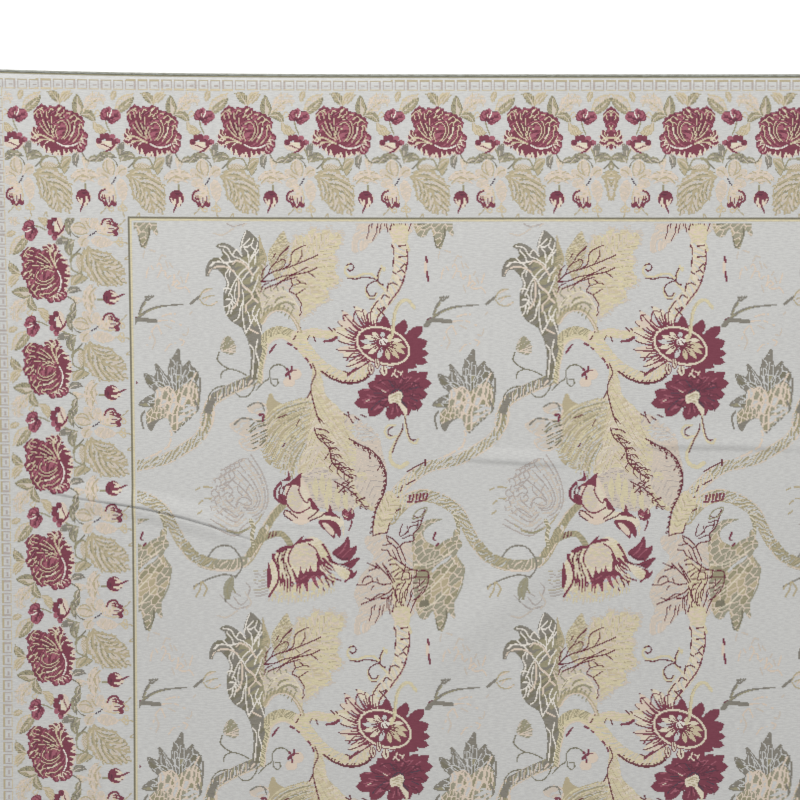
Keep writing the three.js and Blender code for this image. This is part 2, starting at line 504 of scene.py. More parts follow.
    # Pansy.
    fill(loop([(8, 44), (10, 39), (14, 37.5), (18, 36.3), (21, 39), (25, 39), (28, 42), (28.6, 47),
        (25, 50), (20, 53), (17, 52), (14, 49), (9, 47.5)]), "rose")
    unit.fleck(oval((17, 44), 20, 15), "burgundy", 0.2, 7, over=("rose",))
    for points in (
        ((16, 47), (15, 42), (17, 38)), ((14, 48), (10, 44), (10, 40)), ((17, 49), (22, 50.5), (27, 48)),
        ((18, 48), (23, 45), (27, 42)), ((17, 51), (20, 52)), ((13, 43), (14, 40)),
        ((8, 44), (9, 47.5), (14, 49)),
    ):
        stroke(curve(points), "burgundy", 1.3)
    lines("plum", 2.0, ((14, 46.5), (16, 49), (18, 47.5), (21, 46.5)))
    unit.fleck(oval((20, 44), 13, 13), "plum", 0.14, 8, size=(2, 2), over=("rose",))
    lines("white", 1.3, ((17.5, 45.5), (19, 43), (19.6, 40)))
    lines("peach", 1.0, ((16, 45), (15.4, 42)))

    # Cup flower.
    fill(loop([(3, 72), (8, 70), (18, 72), (25, 72), (22, 78), (17, 80), (8, 78), (4, 76)]), "peach")
    for spot, across, along, turn, yarn in (
        ((6, 70), 6.5, 6, 0, "burgundy"), ((10, 65.5), 7, 6, 20, "burgundy"),
        ((14, 65), 6, 6, 0, "burgundy"),
        ((20, 65.5), 6.5, 6, 0, "rose"), ((24.5, 70), 7, 6, 0, "rose"), ((21, 71.5), 5, 6, 0, "burgundy"),
        ((16, 68.5), 6, 4, 0, "burgundy"),
    ):
        fill(oval(spot, across, along, turn), yarn)
    lines("burgundy", 3.0, ((23, 69), (22, 73.5), (18, 78), (12.5, 80.5)), tip=1.8)
    fill(loop([(11, 70.5), (15, 69.6), (19, 71.5), (17.5, 75), (13, 74)]), "cream")
    lines("burgundy", 1.3, ((9, 73.4), (13, 74.6), (18, 77)))
    for points in (((8, 68.5), (12, 67.5)), ((18, 67), (21, 69)), ((5, 70), (8, 72)), ((23, 72), (26, 71))):
        stroke(curve(points), "plum", 1.1)
    lines("blush", 1.2, ((5, 73), (8, 77), (12, 79)))

    # The large bloom: pale fringe, dark fringe, ball of petals, crown and highlights.
    fringe = loop([(33, 62), (36, 70), (41, 74.5), (47, 80), (53, 83), (60, 85), (67, 84), (74, 81),
        (82, 79), (86, 70), (60, 60)])
    fill(ragged(fringe, 2.2, 4.2, 2), "peach")
    fill(ragged(loop([(36, 66), (41, 70.5), (47, 75), (54, 78.5), (61, 80), (68, 80), (75, 78), (80, 76),
        (60, 60)]), 4.2, 4.6, 6), "burgundy")
    for base, tip, width in (
        ((40, 70), (38.5, 76), 2.6), ((44, 71), (43, 79), 2.6), ((48, 74), (47.5, 83), 3),
        ((52, 75), (53.5, 85), 3), ((57, 77), (58, 83), 2.6),
        ((62, 77), (63.3, 86.5), 2.4), ((68, 78), (68, 84), 2.6), ((72, 78), (73.5, 83), 2.6),
    ):
        fill(petal(base, tip, width, 0, 0.35), "burgundy")
    for base, tip, width in (((45, 74), (45.4, 82), 1.6), ((50, 77), (50.6, 83), 1.6),
            ((60, 79), (60.5, 85), 1.8), ((65.5, 79), (66, 85), 1.8), ((70.5, 79), (71, 84), 1.6)):
        fill(petal(base, tip, width), "cream")
    for base, tip, width, bend in (
        ((40, 68), (31, 69), 7, 0.1), ((40, 66), (32, 62.5), 6.5, 0.1), ((40, 64), (35, 56.5), 5, 0.15),
        ((41, 68), (36, 72), 4, 0.0),
    ):
        fill(petal(base, tip, width + 1.8, bend), "peach")
        fill(petal(base, tip, width - 0.6, bend), "burgundy")
    lines("wheat", 1.3, ((40, 67), (36, 66), (34, 68)))
    lines("wheat", 1.2, ((40, 65), (37, 62), (36, 59)))
    for base, tip, width, bend in (
        ((80, 66), (91, 66), 9, 0.1), ((80, 70), (90.5, 73.5), 8.5, 0.0), ((78, 75), (84, 82), 8, 0.1),
        ((80, 72), (88, 79), 7, 0.0),
    ):
        fill(petal(base, tip, width + 1.6, bend), "peach")
        fill(petal(base, tip, width, bend, 0.6, 0.6), "burgundy")
        fill(petal(np.array(base) + 1, tip, width * 0.35, bend), "rose")
    ball = loop(
        [(35, 44), (37.4, 39.5), (44, 34.3), (49, 37.5), (53.3, 35.5), (57, 36.5), (61.7, 34.6), (66, 36.5),
         (69.3, 40), (74, 40.5),
         (79, 43), (84, 46), (87, 51), (85.5, 56), (86.5, 60), (85, 65), (82, 70), (75, 75.5), (65, 76.5),
         (56.8, 73.5), (48, 69),
         (41, 64), (38.6, 56), (36, 49)])
    fill(ragged(ball, 1.2, 5.2, 9), "burgundy")
    unit.fleck(ball, "rose", 0.16, 20, size=(2, 5), over=("burgundy",))
    fill(oval((62, 59), 13, 17, 15), "rose")
    unit.fleck(oval((62, 59), 16, 20, 15), "burgundy", 0.4, 21, size=(2, 3))
    unit.fleck(oval((66, 54), 36, 34), "plum", 0.14, 22, size=(2, 4), over=("burgundy",))
    lines = (
        # yarn, width, the share of it that is broken off, and the lines
        ("plum", 1.3, 0.15, (
            ((41, 44), (43, 54), (48.5, 63)), ((46, 42), (48, 53), (52.5, 63)), ((52, 42), (51.4, 52),
                (54, 60)), ((57, 66), (56.4, 60), (60, 54)),
            ((66, 67), (69.5, 61), (69, 55)), ((73, 68), (77, 60), (77.5, 52)), ((79, 67), (83.5, 59)),
            ((59, 49), (65, 47), (70, 51)),
        )),
        ("wheat", 1.05, 0.16, (
            ((38, 43), (40.5, 52), (45.7, 60), (53, 67)), ((42.5, 42), (45.5, 53), (50.5, 62), (55, 68)),
            ((48.8, 41), (49.5, 51), (53.3, 61), (57, 68)),
            ((54.8, 43), (53, 52), (54.8, 61)), ((54.8, 62), (58, 54), (64.7, 50.6), (69.4, 56), (67.7, 64),
                (63.2, 69)), ((59.4, 68.6), (57.7, 61), (61, 56.5)),
            ((66.2, 69), (71.5, 62.4), (72.3, 55), (69.3, 49), (63, 47.5)), ((70.8, 70), (76, 62),
                (77.6, 54)), ((75.3, 71.5), (81, 64), (82.2, 55)), ((83, 69.5), (86, 63)),
            ((59.4, 42.4), (61.7, 37.8), (66, 39), (67, 42)), ((67.7, 45), (70.8, 42), (74, 45)),
            ((72.3, 48), (77, 44.5), (80, 47.6)), ((77.6, 50.6), (81.4, 48), (85, 51)),
            ((35.6, 44), (39.6, 39.7), (43.4, 38.9), (45.7, 42.6)), ((50.6, 42.4), (53.3, 38.4),
                (56.6, 41)), ((62, 45.6), (65, 42.6), (66.5, 46)), ((81, 55), (84, 53.4), (85.6, 57)),
            ((57, 46), (61, 43.4), (63, 46)), ((73, 53), (76, 50.4), (78, 53)), ((41, 41), (44, 37.5)),
            ((60.5, 40), (63.5, 36.5)),
        )),
        ("wheat", 1.7, 0.0, (((36, 65.4), (43.4, 65.4), (50, 68.4), (55, 71)), ((40, 70.4), (46, 69.4),
            (53, 70)))),
        ("cream", 1.2, 0.0, ( ((73, 65.4), (76.4, 60), (77, 55)), ((46.5, 73.4), (51.8, 69.8)),
            ((60.4, 39.4), (62.6, 38.6)), ((37.6, 66.8), (34, 62.6)), ((86, 72), (84, 67.6)),
            ((83.4, 75), (81.4, 72)),
        )),
        ("white", 1.4, 0.0, (((58.4, 72.4), (65, 75.6), (73.8, 75.4), (79.6, 72.8)),)),
    )
    for yarn, width, gaps, paths in lines:
        for i, path in enumerate(paths):
            stroke(curve(path), yarn, width, gaps=gaps, seed=i)
    return unit


def fieldTile():
    tile = Chart(300, 385, (138, 222), (1.0135, 1.003))
    fill, stroke, lines = tile.fill, tile.stroke, tile.lines

    # Faint flowers, only in outline.
    lines(
        "peach", 1.45,
        ((148, 278), (149.5, 271), (153, 267), (156.5, 271), (161, 264), (163.5, 269), (159.5, 278)),
        ((163, 271), (167, 272), (168.5, 279), (173.5, 275.5), (176, 273.5), (176.5, 279), (174.5, 286),
         (178.5, 281), (181.5, 284), (177.5, 287), (182, 289), (188, 288), (192, 293)),
        ((159.5, 322), (166.5, 321), (174.5, 322), (183, 326)), ((163.5, 317), (170.5, 315), (177, 314.5)),
        ((158, 326), (154, 330), (151.5, 337), (148, 346)), ((159, 326), (163, 335.5)),
        ((181, 340), (185.5, 342.5), (182.5, 348)),
        ((166.5, 351.5), (170.5, 346), (177, 344)), ((188, 283), (191, 274)), gaps=0.06, seed=5,
    )
    lines(
        "blush", 1.3,
        ((172, 264), (175, 268)), ((182, 271), (180, 275)), ((161.5, 261), (164, 256), (168, 257)),
        ((145, 258), (146.5, 252)), ((151, 250), (157, 252)),
        ((166.5, 326), (173, 329)), ((190, 329), (188.5, 335.5), (184, 335.5)), ((153, 334), (156, 342),
            (153, 350)), ((192, 315), (193.5, 312.5)),
        ((168, 262), (170, 268)), ((183, 277), (185, 283)), ((170, 285), (172, 292)), gaps=0.1,
    )
    tulip = loop([(212, 482), (226, 474), (236, 462), (252, 462), (262, 474), (270, 496), (266, 512),
        (252, 524), (236, 530), (222, 522), (212, 508)])
    tile.fleck(tulip, "blush", 0.16, 7, size=(2, 2))
    for i in range(7):
        lines(
            "blush" if i % 3 == 2 else "taupe", 1.15,
            ((252 - 3.4 * i, 456 + 4 * i), (263 - 3 * i, 474 + 3 * i), (269 - 2.8 * i, 496 + i),
             (265 - 2.8 * i, 513 - i), (256 - 3 * i, 521 - 3 * i)),
            ((208 + 3 * i, 525 - 4.4 * i), (221 + i, 532 - 5 * i), (236, 537 - 4.6 * i),
             (250 - 2 * i, 528 - 4 * i)), gaps=0.06, seed=8 + i,
        )
    for i in range(5):
        x, y = 212 + 4.6 * i, 490 - 2.6 * i
        lines(
            "taupe", 1.15,
            ((x, y + 22 - 3 * i), (x - 2, y + 14 - 2 * i), (x + 3, y + 10 - 2 * i), (x - 1, y + 4),
             (x + 5, y - 2), (x + 3, y - 9), (x + 10, y - 12), (x + 9, y - 18), (x + 17, y - 20)),
            gaps=0.12, seed=i,
        )
    lines(
        "taupe", 1.15,
        ((222, 498), (228, 494), (234, 499), (229, 505)), ((236, 507), (240, 500), (247, 499), (252, 505),
            (247, 511)),
        ((228, 486), (233, 492), (229, 499)), ((240, 484), (238, 491), (243, 497)), ((250, 486), (247, 493),
            (251, 500)), ((218, 515), (224, 510), (231, 513), (238, 519)),
        ((219, 596), (228, 605), (236, 610), (250, 607)), ((233, 598), (240, 606), (247, 601), (249, 591)),
        ((225, 583), (229, 591), (240, 597)), ((246, 584), (250, 590), (247, 597)),
        gaps=0.1, seed=12,
    )
    lines("blush", 1.3, ((217, 617), (225, 619), (233, 615), (240, 609)), ((245, 594), (251, 604),
        (246, 610)), gaps=0.1)
    lines("tan", 1.6, ((196, 491), (203, 488), (212, 489)), ((199, 505), (205, 500), (211, 500)),
        ((198, 515), (203, 511)), gaps=0.2)
    for i in range(9):
        lines("taupe" if i % 3 else "tan", 1.0, ((268, 571 + 3 * i), (261, 573 + 3 * i),
            (254 + i % 3, 572 + 3.2 * i)), gaps=0.2, seed=i)

    # Leaf of a second bud, and the pale leaves that lie under the rest.
    tan = loop([(272, 262), (272, 252), (278, 242), (287, 231), (291, 240), (297, 248), (298, 262),
        (297, 280), (280, 281)], 4)
    fill(tan, "tan")
    tile.fleck(tan, "straw", 0.3, 30)
    tile.feather(tan, curve([(275, 280), (285, 232)]), "blush", 3.2, 1.2, 0.3, 2, 0.35)
    tile.feather(tan, curve([(275, 280), (285, 232)]), "olive", 4.2, 1.2, 0.2, 3, 0.45)
    yellow = loop(
        [(290, 262), (294, 246), (300, 232), (309, 235), (316, 225), (324, 231), (334, 225), (338, 232),
         (347, 230), (346, 242),
         (338, 252), (343, 262), (338, 270), (345, 279), (340, 288), (330, 290), (334, 300), (322, 306),
         (315, 314), (304, 320),
         (300, 306), (290, 294), (280, 288), (284, 276)], 4)
    rib = curve([(290, 282), (306, 268), (322, 252), (338, 234)])
    fill(ragged(yellow, 2.2, 5, 3), "blush")
    tile.fleck(ragged(yellow, 2.2, 5, 3), "ground", 0.45, 32)
    core = np.array((312, 268)) + 0.9 * (yellow - (312, 268))
    fill(ragged(core, 2.0, 6, 4), "straw")
    tile.fleck(core, "wheat", 0.3, 101, size=(5, 4), over=("straw",))
    tile.feather(core, rib, "blush", 6.2, 0.9, 0.2, 5, 0.35)
    tile.feather(core, rib, "peach", 8.6, 0.5, 0.2, 6, 0.35)
    tile.feather(core, rib, "tan", 9.6, 1.3, 0.12, 7, 0.45)
    for i, tip in enumerate(((306, 238), (319, 232), (333, 234), (343, 236), (338, 258), (340, 280),
            (328, 294), (316, 306))):
        lines("blush", 1.2, ((302 + i % 3, 264 + i), ((302 + tip[0]) / 2 + 2, (266 + tip[1]) / 2 - 2), tip),
            gaps=0.3, seed=i)
    lines("straw", 2.2, ((299, 312), (308, 305), (316, 301), (328, 303)))
    fill(loop([(284, 283), (294, 280), (296, 290), (300, 298), (306, 308), (304, 318), (294, 306),
        (282, 296), (272, 290)], 4), "blush")
    tile.fleck(oval((292, 298), 30, 40), "ground", 0.3, 33, over=("blush",))

    # The long leaf: olive to its left, blush in its right lobe.
    leaf = loop(
        [(316, 366), (321, 371), (325, 382), (328, 396), (337, 405), (346, 414), (358, 422), (372, 428),
         (380, 436), (383, 450),
         (387, 465), (388, 482), (385, 498), (377, 512), (368, 510), (360, 507), (352, 512), (344, 506),
         (335, 512), (326, 506),
         (316, 507), (308, 500), (302, 490), (301, 478), (296, 470), (288, 468), (280, 468), (272, 464),
         (266, 459),
         (261, 452), (264, 444), (266, 430), (266, 415), (268, 404), (273, 394), (277, 401), (288, 406),
         (300, 403), (309, 398),
         (313, 390), (314, 378)], 4)
    rib = curve([(316, 368), (317, 400), (318, 436), (322, 470), (328, 508)])
    fill(leaf, "straw")
    tile.fleck(leaf, "cream", 0.22, 102, size=(5, 5))
    tile.fleck(leaf, "wheat", 0.22, 103, size=(5, 4))
    tile.feather(leaf, rib, "blush", 6.2, 1.4, 0.2, 21, 0.35)
    tile.feather(leaf, rib, "peach", 8.6, 0.9, 0.2, 22, 0.4)
    tile.feather(leaf, rib, "tan", 10.2, 1.9, 0.12, 23, 0.4)
    left = loop(
        [(272, 394), (277, 401), (288, 406), (300, 403), (308, 400), (306, 414), (302, 430), (304, 450),
         (300, 462), (290, 470),
         (279, 470), (268, 464), (262, 452), (264, 440), (266, 428), (266, 415), (268, 404)], 4)
    fill(left, "tan")
    tile.fleck(loop([(266, 436), (300, 440), (300, 462), (290, 470), (279, 470), (268, 464), (260, 452)]),
        "ground", 0.4, 31, size=(3, 2))
    for i in range(110):
        k = (i * 67 % 110) / 109
        start = (309 - 7 * k + 6 * math.sin(2.4 * i), 399 + 47 * k)
        end = (261 + 6 * k + 30 * k**2 + 4 * math.sin(5 * i),
            426 + 74 * k - 22 * k**2 + 4 * math.cos(3 * i))
        middle = ((start[0] + end[0]) / 2 - 3, (start[1] + end[1]) / 2 - 7 * (1 - k))
        lines(("tan", "straw", "ground", "tan", "blush", "olive", "straw", "tan")[i * 5 % 8], 1.15,
            (start, middle, end), tip=0.8, gaps=0.12, seed=i)
    lobe = loop(
        [(346, 424), (352, 416), (360, 418), (373, 428), (381, 437), (384, 452), (388, 468), (388, 482),
         (385, 498), (376, 508),
         (366, 500), (357, 488), (354, 470), (350, 455), (352, 440)], 4)
    fill(lobe, "blush")
    tile.feather(lobe, curve([(352, 420), (362, 460), (384, 500)]), "peach", 4.4, 0.6, 0.2, 17, 0.35)
    tile.feather(lobe, curve([(352, 420), (362, 460), (384, 500)]), "taupe", 6.1, 0.6, 0.2, 18, 0.4)
    tile.fleck(oval((370, 430), 34, 26), "ground", 0.5, 36, over=("blush", "peach", "taupe"))
    tile.fleck(oval((352, 452), 12, 66), "straw", 0.5, 37, over=("blush", "peach", "taupe"))
    tile.fleck(oval((363, 478), 12, 10), "straw", 0.4, 38, over=("blush", "peach", "taupe"))
    tile.fleck(oval((343, 470), 14, 60), "blush", 0.35, 39, over=("straw",))
    hem = loop([(302, 480), (312, 473), (322, 468), (336, 476), (350, 482), (356, 500), (352, 512),
        (335, 512), (316, 507), (308, 500)], 4)
    tile.fleck(hem, "blush", 0.85, 40)
    tile.fleck(hem, "taupe", 0.2, 41)
    for x, y, width in ((309, 484, 4), (317, 478, 6), (324, 474, 6), (331, 478, 6), (339, 486, 6),
            (347, 490, 5), (328, 490, 4)):
        fill(petal((x + 1, y + 24), (x, y), width, 0.03), "straw")
    for tip in ((303, 459), (300, 470), (306, 480), (314, 486), (334, 484), (344, 466), (348, 452),
            (306, 444)):
        lines("blush", 1.3, ((321, 448), ((321 + tip[0]) / 2 - 1, (446 + tip[1]) / 2 - 2), tip), gaps=0.2,
            seed=tip[0])

    # A smaller straw and blush leaf at the root of the lower vine, and the blush leaf below it.
    veined = loop(
        [(366, 539), (376, 536), (388, 537), (400, 546), (408, 543), (417, 546), (418, 560), (420, 572),
         (430, 574), (429, 587),
         (422, 598), (418, 612), (408, 621), (397, 622), (388, 612), (378, 623), (368, 633), (356, 636),
         (356, 622), (360, 611),
         (355, 597), (358, 586), (362, 577), (369, 569), (375, 558), (368, 549)], 4)
    fill(veined, "blush")
    tile.feather(veined, curve([(394, 540), (394, 585), (380, 630)]), "peach", 4.0, 0.8, 0.35, 27, 0.3)
    tile.feather(veined, curve([(394, 540), (394, 585), (380, 630)]), "ground", 7.3, 0.8, 0.2, 28, 0.3)
    straw = loop([(392, 558), (398, 564), (412, 572), (412, 586), (406, 604), (409, 622), (413, 634),
        (404, 640), (396, 632), (396, 612), (393, 592), (394, 574)], 4)
    fill(straw, "straw")
    tile.fleck(straw, "tan", 0.2, 42)
    tile.feather(straw, curve([(402, 560), (400, 640)]), "peach", 5.2, 1.2, 0.25, 29, 0.3)
    tile.fleck(oval((402, 630), 16, 22), "peach", 0.4, 41)

    # The arch with olive flecks, and the broad hook that springs from it.
    lines("straw", 12, ((262, 350), (266, 342), (274, 335), (284, 333), (296, 338), (303, 345)))
    tile.stem(curve([(264, 343), (270, 335), (280, 331), (292, 333), (301, 340)]), 8, "straw",
        (("olive", 2.4, 1.0, -1, 1), ("tan", 3.3, 1.0, -1, 1)))
    lines("peach", 1.3, ((268, 351), (274, 342), (284, 339), (293, 343)))
    hook = curve([(300, 338), (308, 350), (320, 364), (333, 373), (347, 378), (360, 377), (369, 370),
        (369, 363)])
    tile.stem(hook, 14, "straw", (("peach", 3.6, 1.1, -1, 1), ("ground", 7.3, 1.0, -0.9, 0.3)), tip=10)
    lines("straw", 8.5, ((303, 336), (316, 333), (330, 335), (345, 331)))
    tile.fleck(oval((322, 334), 40, 9), "peach", 0.3, 43)
    lines("peach", 1.2, ((301, 332), (314, 330), (330, 331), (347, 328)))
    lines("maroon", 1.2, ((323, 372), (333, 379), (346, 384), (358, 384), (368, 380), (373, 374),
        (371, 365), (368, 360)))
    tile.twigs(curve([(324, 372), (334, 379), (346, 383), (358, 383), (368, 379), (372, 373)]), "maroon",
        4.2, 3.2, 70, 6, 1.4, (-1,))
    lines("burgundy", 2.4, ((350, 376), (355, 372), (361, 368)), ((327, 342), (334, 341), (339, 338)),
        tip=3.4)
    lines("maroon", 1.3, ((346, 372), (351, 374)), ((312, 336), (310, 340)), ((316, 337), (318, 342)),
        ((331, 328), (335, 332)), ((336, 329), (340, 333)))
    lines("burgundy", 2.0, ((308, 359), (312, 364), (314, 369)), ((290, 344), (294, 346), (299, 350)),
        gaps=0.15)
    lines("maroon", 1.3, ((296, 340), (300, 334), (303, 328)), gaps=0.2)
    lines("burgundy", 2.6, ((272, 353), (275, 349), (278, 345)), tip=1.4)

    # Segmented vines.
    upper = curve([(88, 522), (95, 508), (104, 492), (116, 480), (128, 471), (140, 466), (156, 463),
        (170, 458), (184, 450), (197, 441), (205, 431), (208, 421), (209, 412), (213, 403), (222, 396),
        (240, 387), (256, 381)])
    tile.stem(upper, 12.5, "tan", (("olive", 3.1, 1.7, -1, 1), ("ground", 6.2, 2.6, -0.85, 0.95),
        ("cream", 9.3, 1.0, -0.9, 0.6)), ("peach", "peach"), 11, 1.5)
    tile.stem(curve([(209, 412), (210, 408), (213, 403)]), 8, "slate", (), (None, None), 6)
    lines("olive", 2.4, ((210, 416), (208, 424), (205, 432)), ((205, 413), (204, 420), (203, 427)), tip=1.6)
    lines("peach", 1.5, ((207, 415), (206, 424), (203, 432)), ((215, 413), (214, 422), (210, 432),
        (205, 440)), ((202, 414), (201, 424)), gaps=0.1)
    tile.stem(curve([(216, 398), (228, 392), (240, 386), (252, 381)]), 9, "slate",
        (("peach", 3.6, 1.2, -0.7, 1), ("ground", 5.9, 1.6, -0.9, 0.7), ("olive", 5.1, 1.4, -1, 0.4)))
    lower = curve([(96, 519), (104, 509), (114, 501), (126, 497), (138, 498), (151, 503), (164, 513),
        (172, 527), (181, 544), (193, 558), (208, 566), (226, 567), (241, 565), (250, 558), (258, 545),
        (266, 530), (274, 517), (284, 506)])
    tile.stem(lower, 14, "tan", (("olive", 2.9, 1.5, -1, 1), ("ground", 5.8, 2.2, -0.75, 0.8),
        ("cream", 8.7, 1.0, -0.4, 1)), ("peach", "tan"), 8, 1.3)
    tile.stem(curve([(184, 548), (193, 558), (206, 564), (220, 567), (232, 567)]), 12, "olive",
        (("tan", 2.6, 1.2, -1, 1), ("ground", 7.8, 1.2, -0.5, 0.7)), (None, "peach"))
    tile.stem(curve([(218, 566), (232, 567), (243, 563)]), 11, "sage", (("peach", 4.4, 1.1, -1, 1),),
        (None, "peach"))
    tile.stem(curve([(250, 556), (258, 544), (264, 532)]), 8, "olive", (("tan", 3.1, 1.2, -1, 1),),
        (None, "peach"))
    tile.stem(curve([(270, 524), (276, 515), (285, 505)]), 6.5, "olive", (("tan", 3.6, 1.2, -1, 1),))
    tile.stem(curve([(262, 541), (270, 537), (281, 535), (288, 541), (292, 548)]), 6, "olive",
        (("tan", 4.3, 1.6, -1, 1),))
    tile.stem(curve([(160, 514), (163, 524), (165, 536)]), 5, "olive", (("cream", 3.1, 1.0, -1, 1),),
        (None, None), 2)
    tile.stem(curve([(251, 522), (254, 529), (252, 538), (254, 547)]), 4, "olive",
        (("cream", 4.1, 1.6, -1, 1),))
    lines("olive", 2.0, ((228, 532), (238, 534), (249, 530)))
    lines("tan", 1.3, ((220, 526), (230, 533)), ((249, 530), (258, 523), (262, 516)), gaps=0.15)
    lines("maroon", 1.4, ((409, 473), (419, 467), (427, 463)), ((408, 486), (417, 481)),
        ((387, 511), (392, 505), (400, 498)), ((397, 513), (402, 510)), ((427, 461), (427, 467)), gaps=0.1)
    for i in range(6):
        lines("burgundy", 2.6, ((412 + 3.4 * i, 497 - i * 0.4), (410.6 + 3.5 * i, 502.4 - i * 0.3)),
            tip=1.6)
    lines("burgundy", 1.6, ((409, 503), (418, 503), (428, 501)), gaps=0.3)
    lines("maroon", 1.3, ((271, 534), (269, 539)), ((274, 533), (273, 538)), ((277, 534), (276, 537)),
        ((396, 497), (399, 502)), ((404, 487), (402, 493)))

    root = loop([(374, 536), (376, 522), (380, 508), (385, 497), (391, 492), (398, 498), (402, 505),
        (397, 513), (392, 524), (388, 534)], 4)
    fill(root, "straw")
    tile.feather(root, curve([(380, 534), (388, 512), (404, 488)]), "peach", 3.8, 0.9, 0.4, 24, 0.25)
    tile.feather(root, curve([(380, 534), (388, 512), (404, 488)]), "tan", 5.7, 0.9, 0.25, 25, 0.3)
    for spot, size in (((398, 492), 26), ((408, 482), 22), ((410, 499), 20)):
        tile.fleck(oval(spot, size, size), "straw", 0.5, size, size=(2, 2), over=("olive", "tan"))
        tile.fleck(oval(spot, size, size), "peach", 0.35, size + 1, size=(2, 2), over=("olive", "tan"))

    worn = (
        [(134, 455), (160, 452), (190, 436), (200, 425), (210, 428), (206, 442), (180, 462), (150, 472),
         (134, 474)],
        [(134, 488), (152, 492), (172, 508), (184, 530), (200, 552), (200, 572), (184, 562), (166, 532),
         (150, 514), (134, 508)],
    )
    for i, points in enumerate(worn):
        tile.fleck(loop(points), "ground", 0.15, 98 + i, size=(2, 3), over=("olive", "tan"))
        tile.fleck(loop(points), "ground", 0.34, 100 + i, size=(3, 2), over=("peach",))

    # Fine tendrils beside them.
    lines(
        "slate", 1.5,
        ((208, 558), (213, 551), (221, 547), (231, 548), (238, 555), (242, 563), (241, 571), (235, 579)),
        ((235, 578), (224, 576), (212, 579), (202, 583), (193, 588)), ((224, 596), (225, 603)),
    )
    lines(
        "moss", 1.2,
        ((209, 402), (211, 395), (217, 389), (226, 387)), ((222, 379), (224, 373), (231, 370), (240, 372),
            (248, 376)),
        ((221, 353), (219, 360), (224, 366), (231, 370)), ((237, 394), (242, 398), (249, 397), (255, 390),
            (257, 384)),
        ((258, 391), (264, 384), (271, 379), (272, 371), (277, 366), (284, 366), (289, 370)),
        ((273, 379), (273, 384), (277, 387), (280, 384), (279, 380), (275, 380)),
    )
    lines("tan", 1.8, ((200, 584), (199, 591), (195, 598)), ((202, 584), (206, 590), (203, 597)),
        ((196, 586), (193, 590)))
    fill(loop([(233, 578), (226, 582), (223, 590), (224, 599), (229, 601), (231, 594), (233, 590)]), "sage")
    lines("olive", 1.4, ((231, 581), (227, 590), (228, 600)), ((232, 588), (235, 594)))
    fan = loop([(225, 340), (231, 337), (236, 343), (238, 349), (235, 355), (227, 354), (222, 350)])
    fill(fan, "sage")
    tile.fleck(fan, "blush", 0.35, 104, size=(2, 2))
    for x, y in ((228, 338), (232, 338), (236, 342), (238, 347), (237, 353)):
        lines("peach" if x % 4 else "olive", 1.2, ((225, 352), (x, y)))

    # Branch with a bud at its end.
    lines("slate", 3.6, ((134, 326), (140, 318), (150, 311), (163, 307), (174, 306), (185, 305)), tip=1.2)
    lines("slate", 4.2, ((132, 326), (137, 321), (146, 321), (157, 322)))
    lines("slate", 2.2, ((140, 315), (144, 305), (150, 297)), ((147, 298), (153, 297)),
        ((149, 301), (155, 297)), tip=1.6)
    lines("olive", 1.2, ((140, 317), (152, 311), (164, 307)), ((141, 314), (147, 303)), gaps=0.3)
    lines("maroon", 1.0, ((134, 320), (139, 317)), gaps=0.3)
    lines("slate", 2.6, ((193, 304), (198, 300), (202, 297)))
    lines("tan", 1.3, ((202, 298), (206, 291), (214, 289)), ((202, 300), (206, 305), (214, 306),
        (219, 302)), ((205, 299), (211, 297), (216, 296)))
    lines("peach", 1.2, ((207, 302), (210, 298)), ((214, 305), (219, 303)), ((206, 293), (212, 290)))

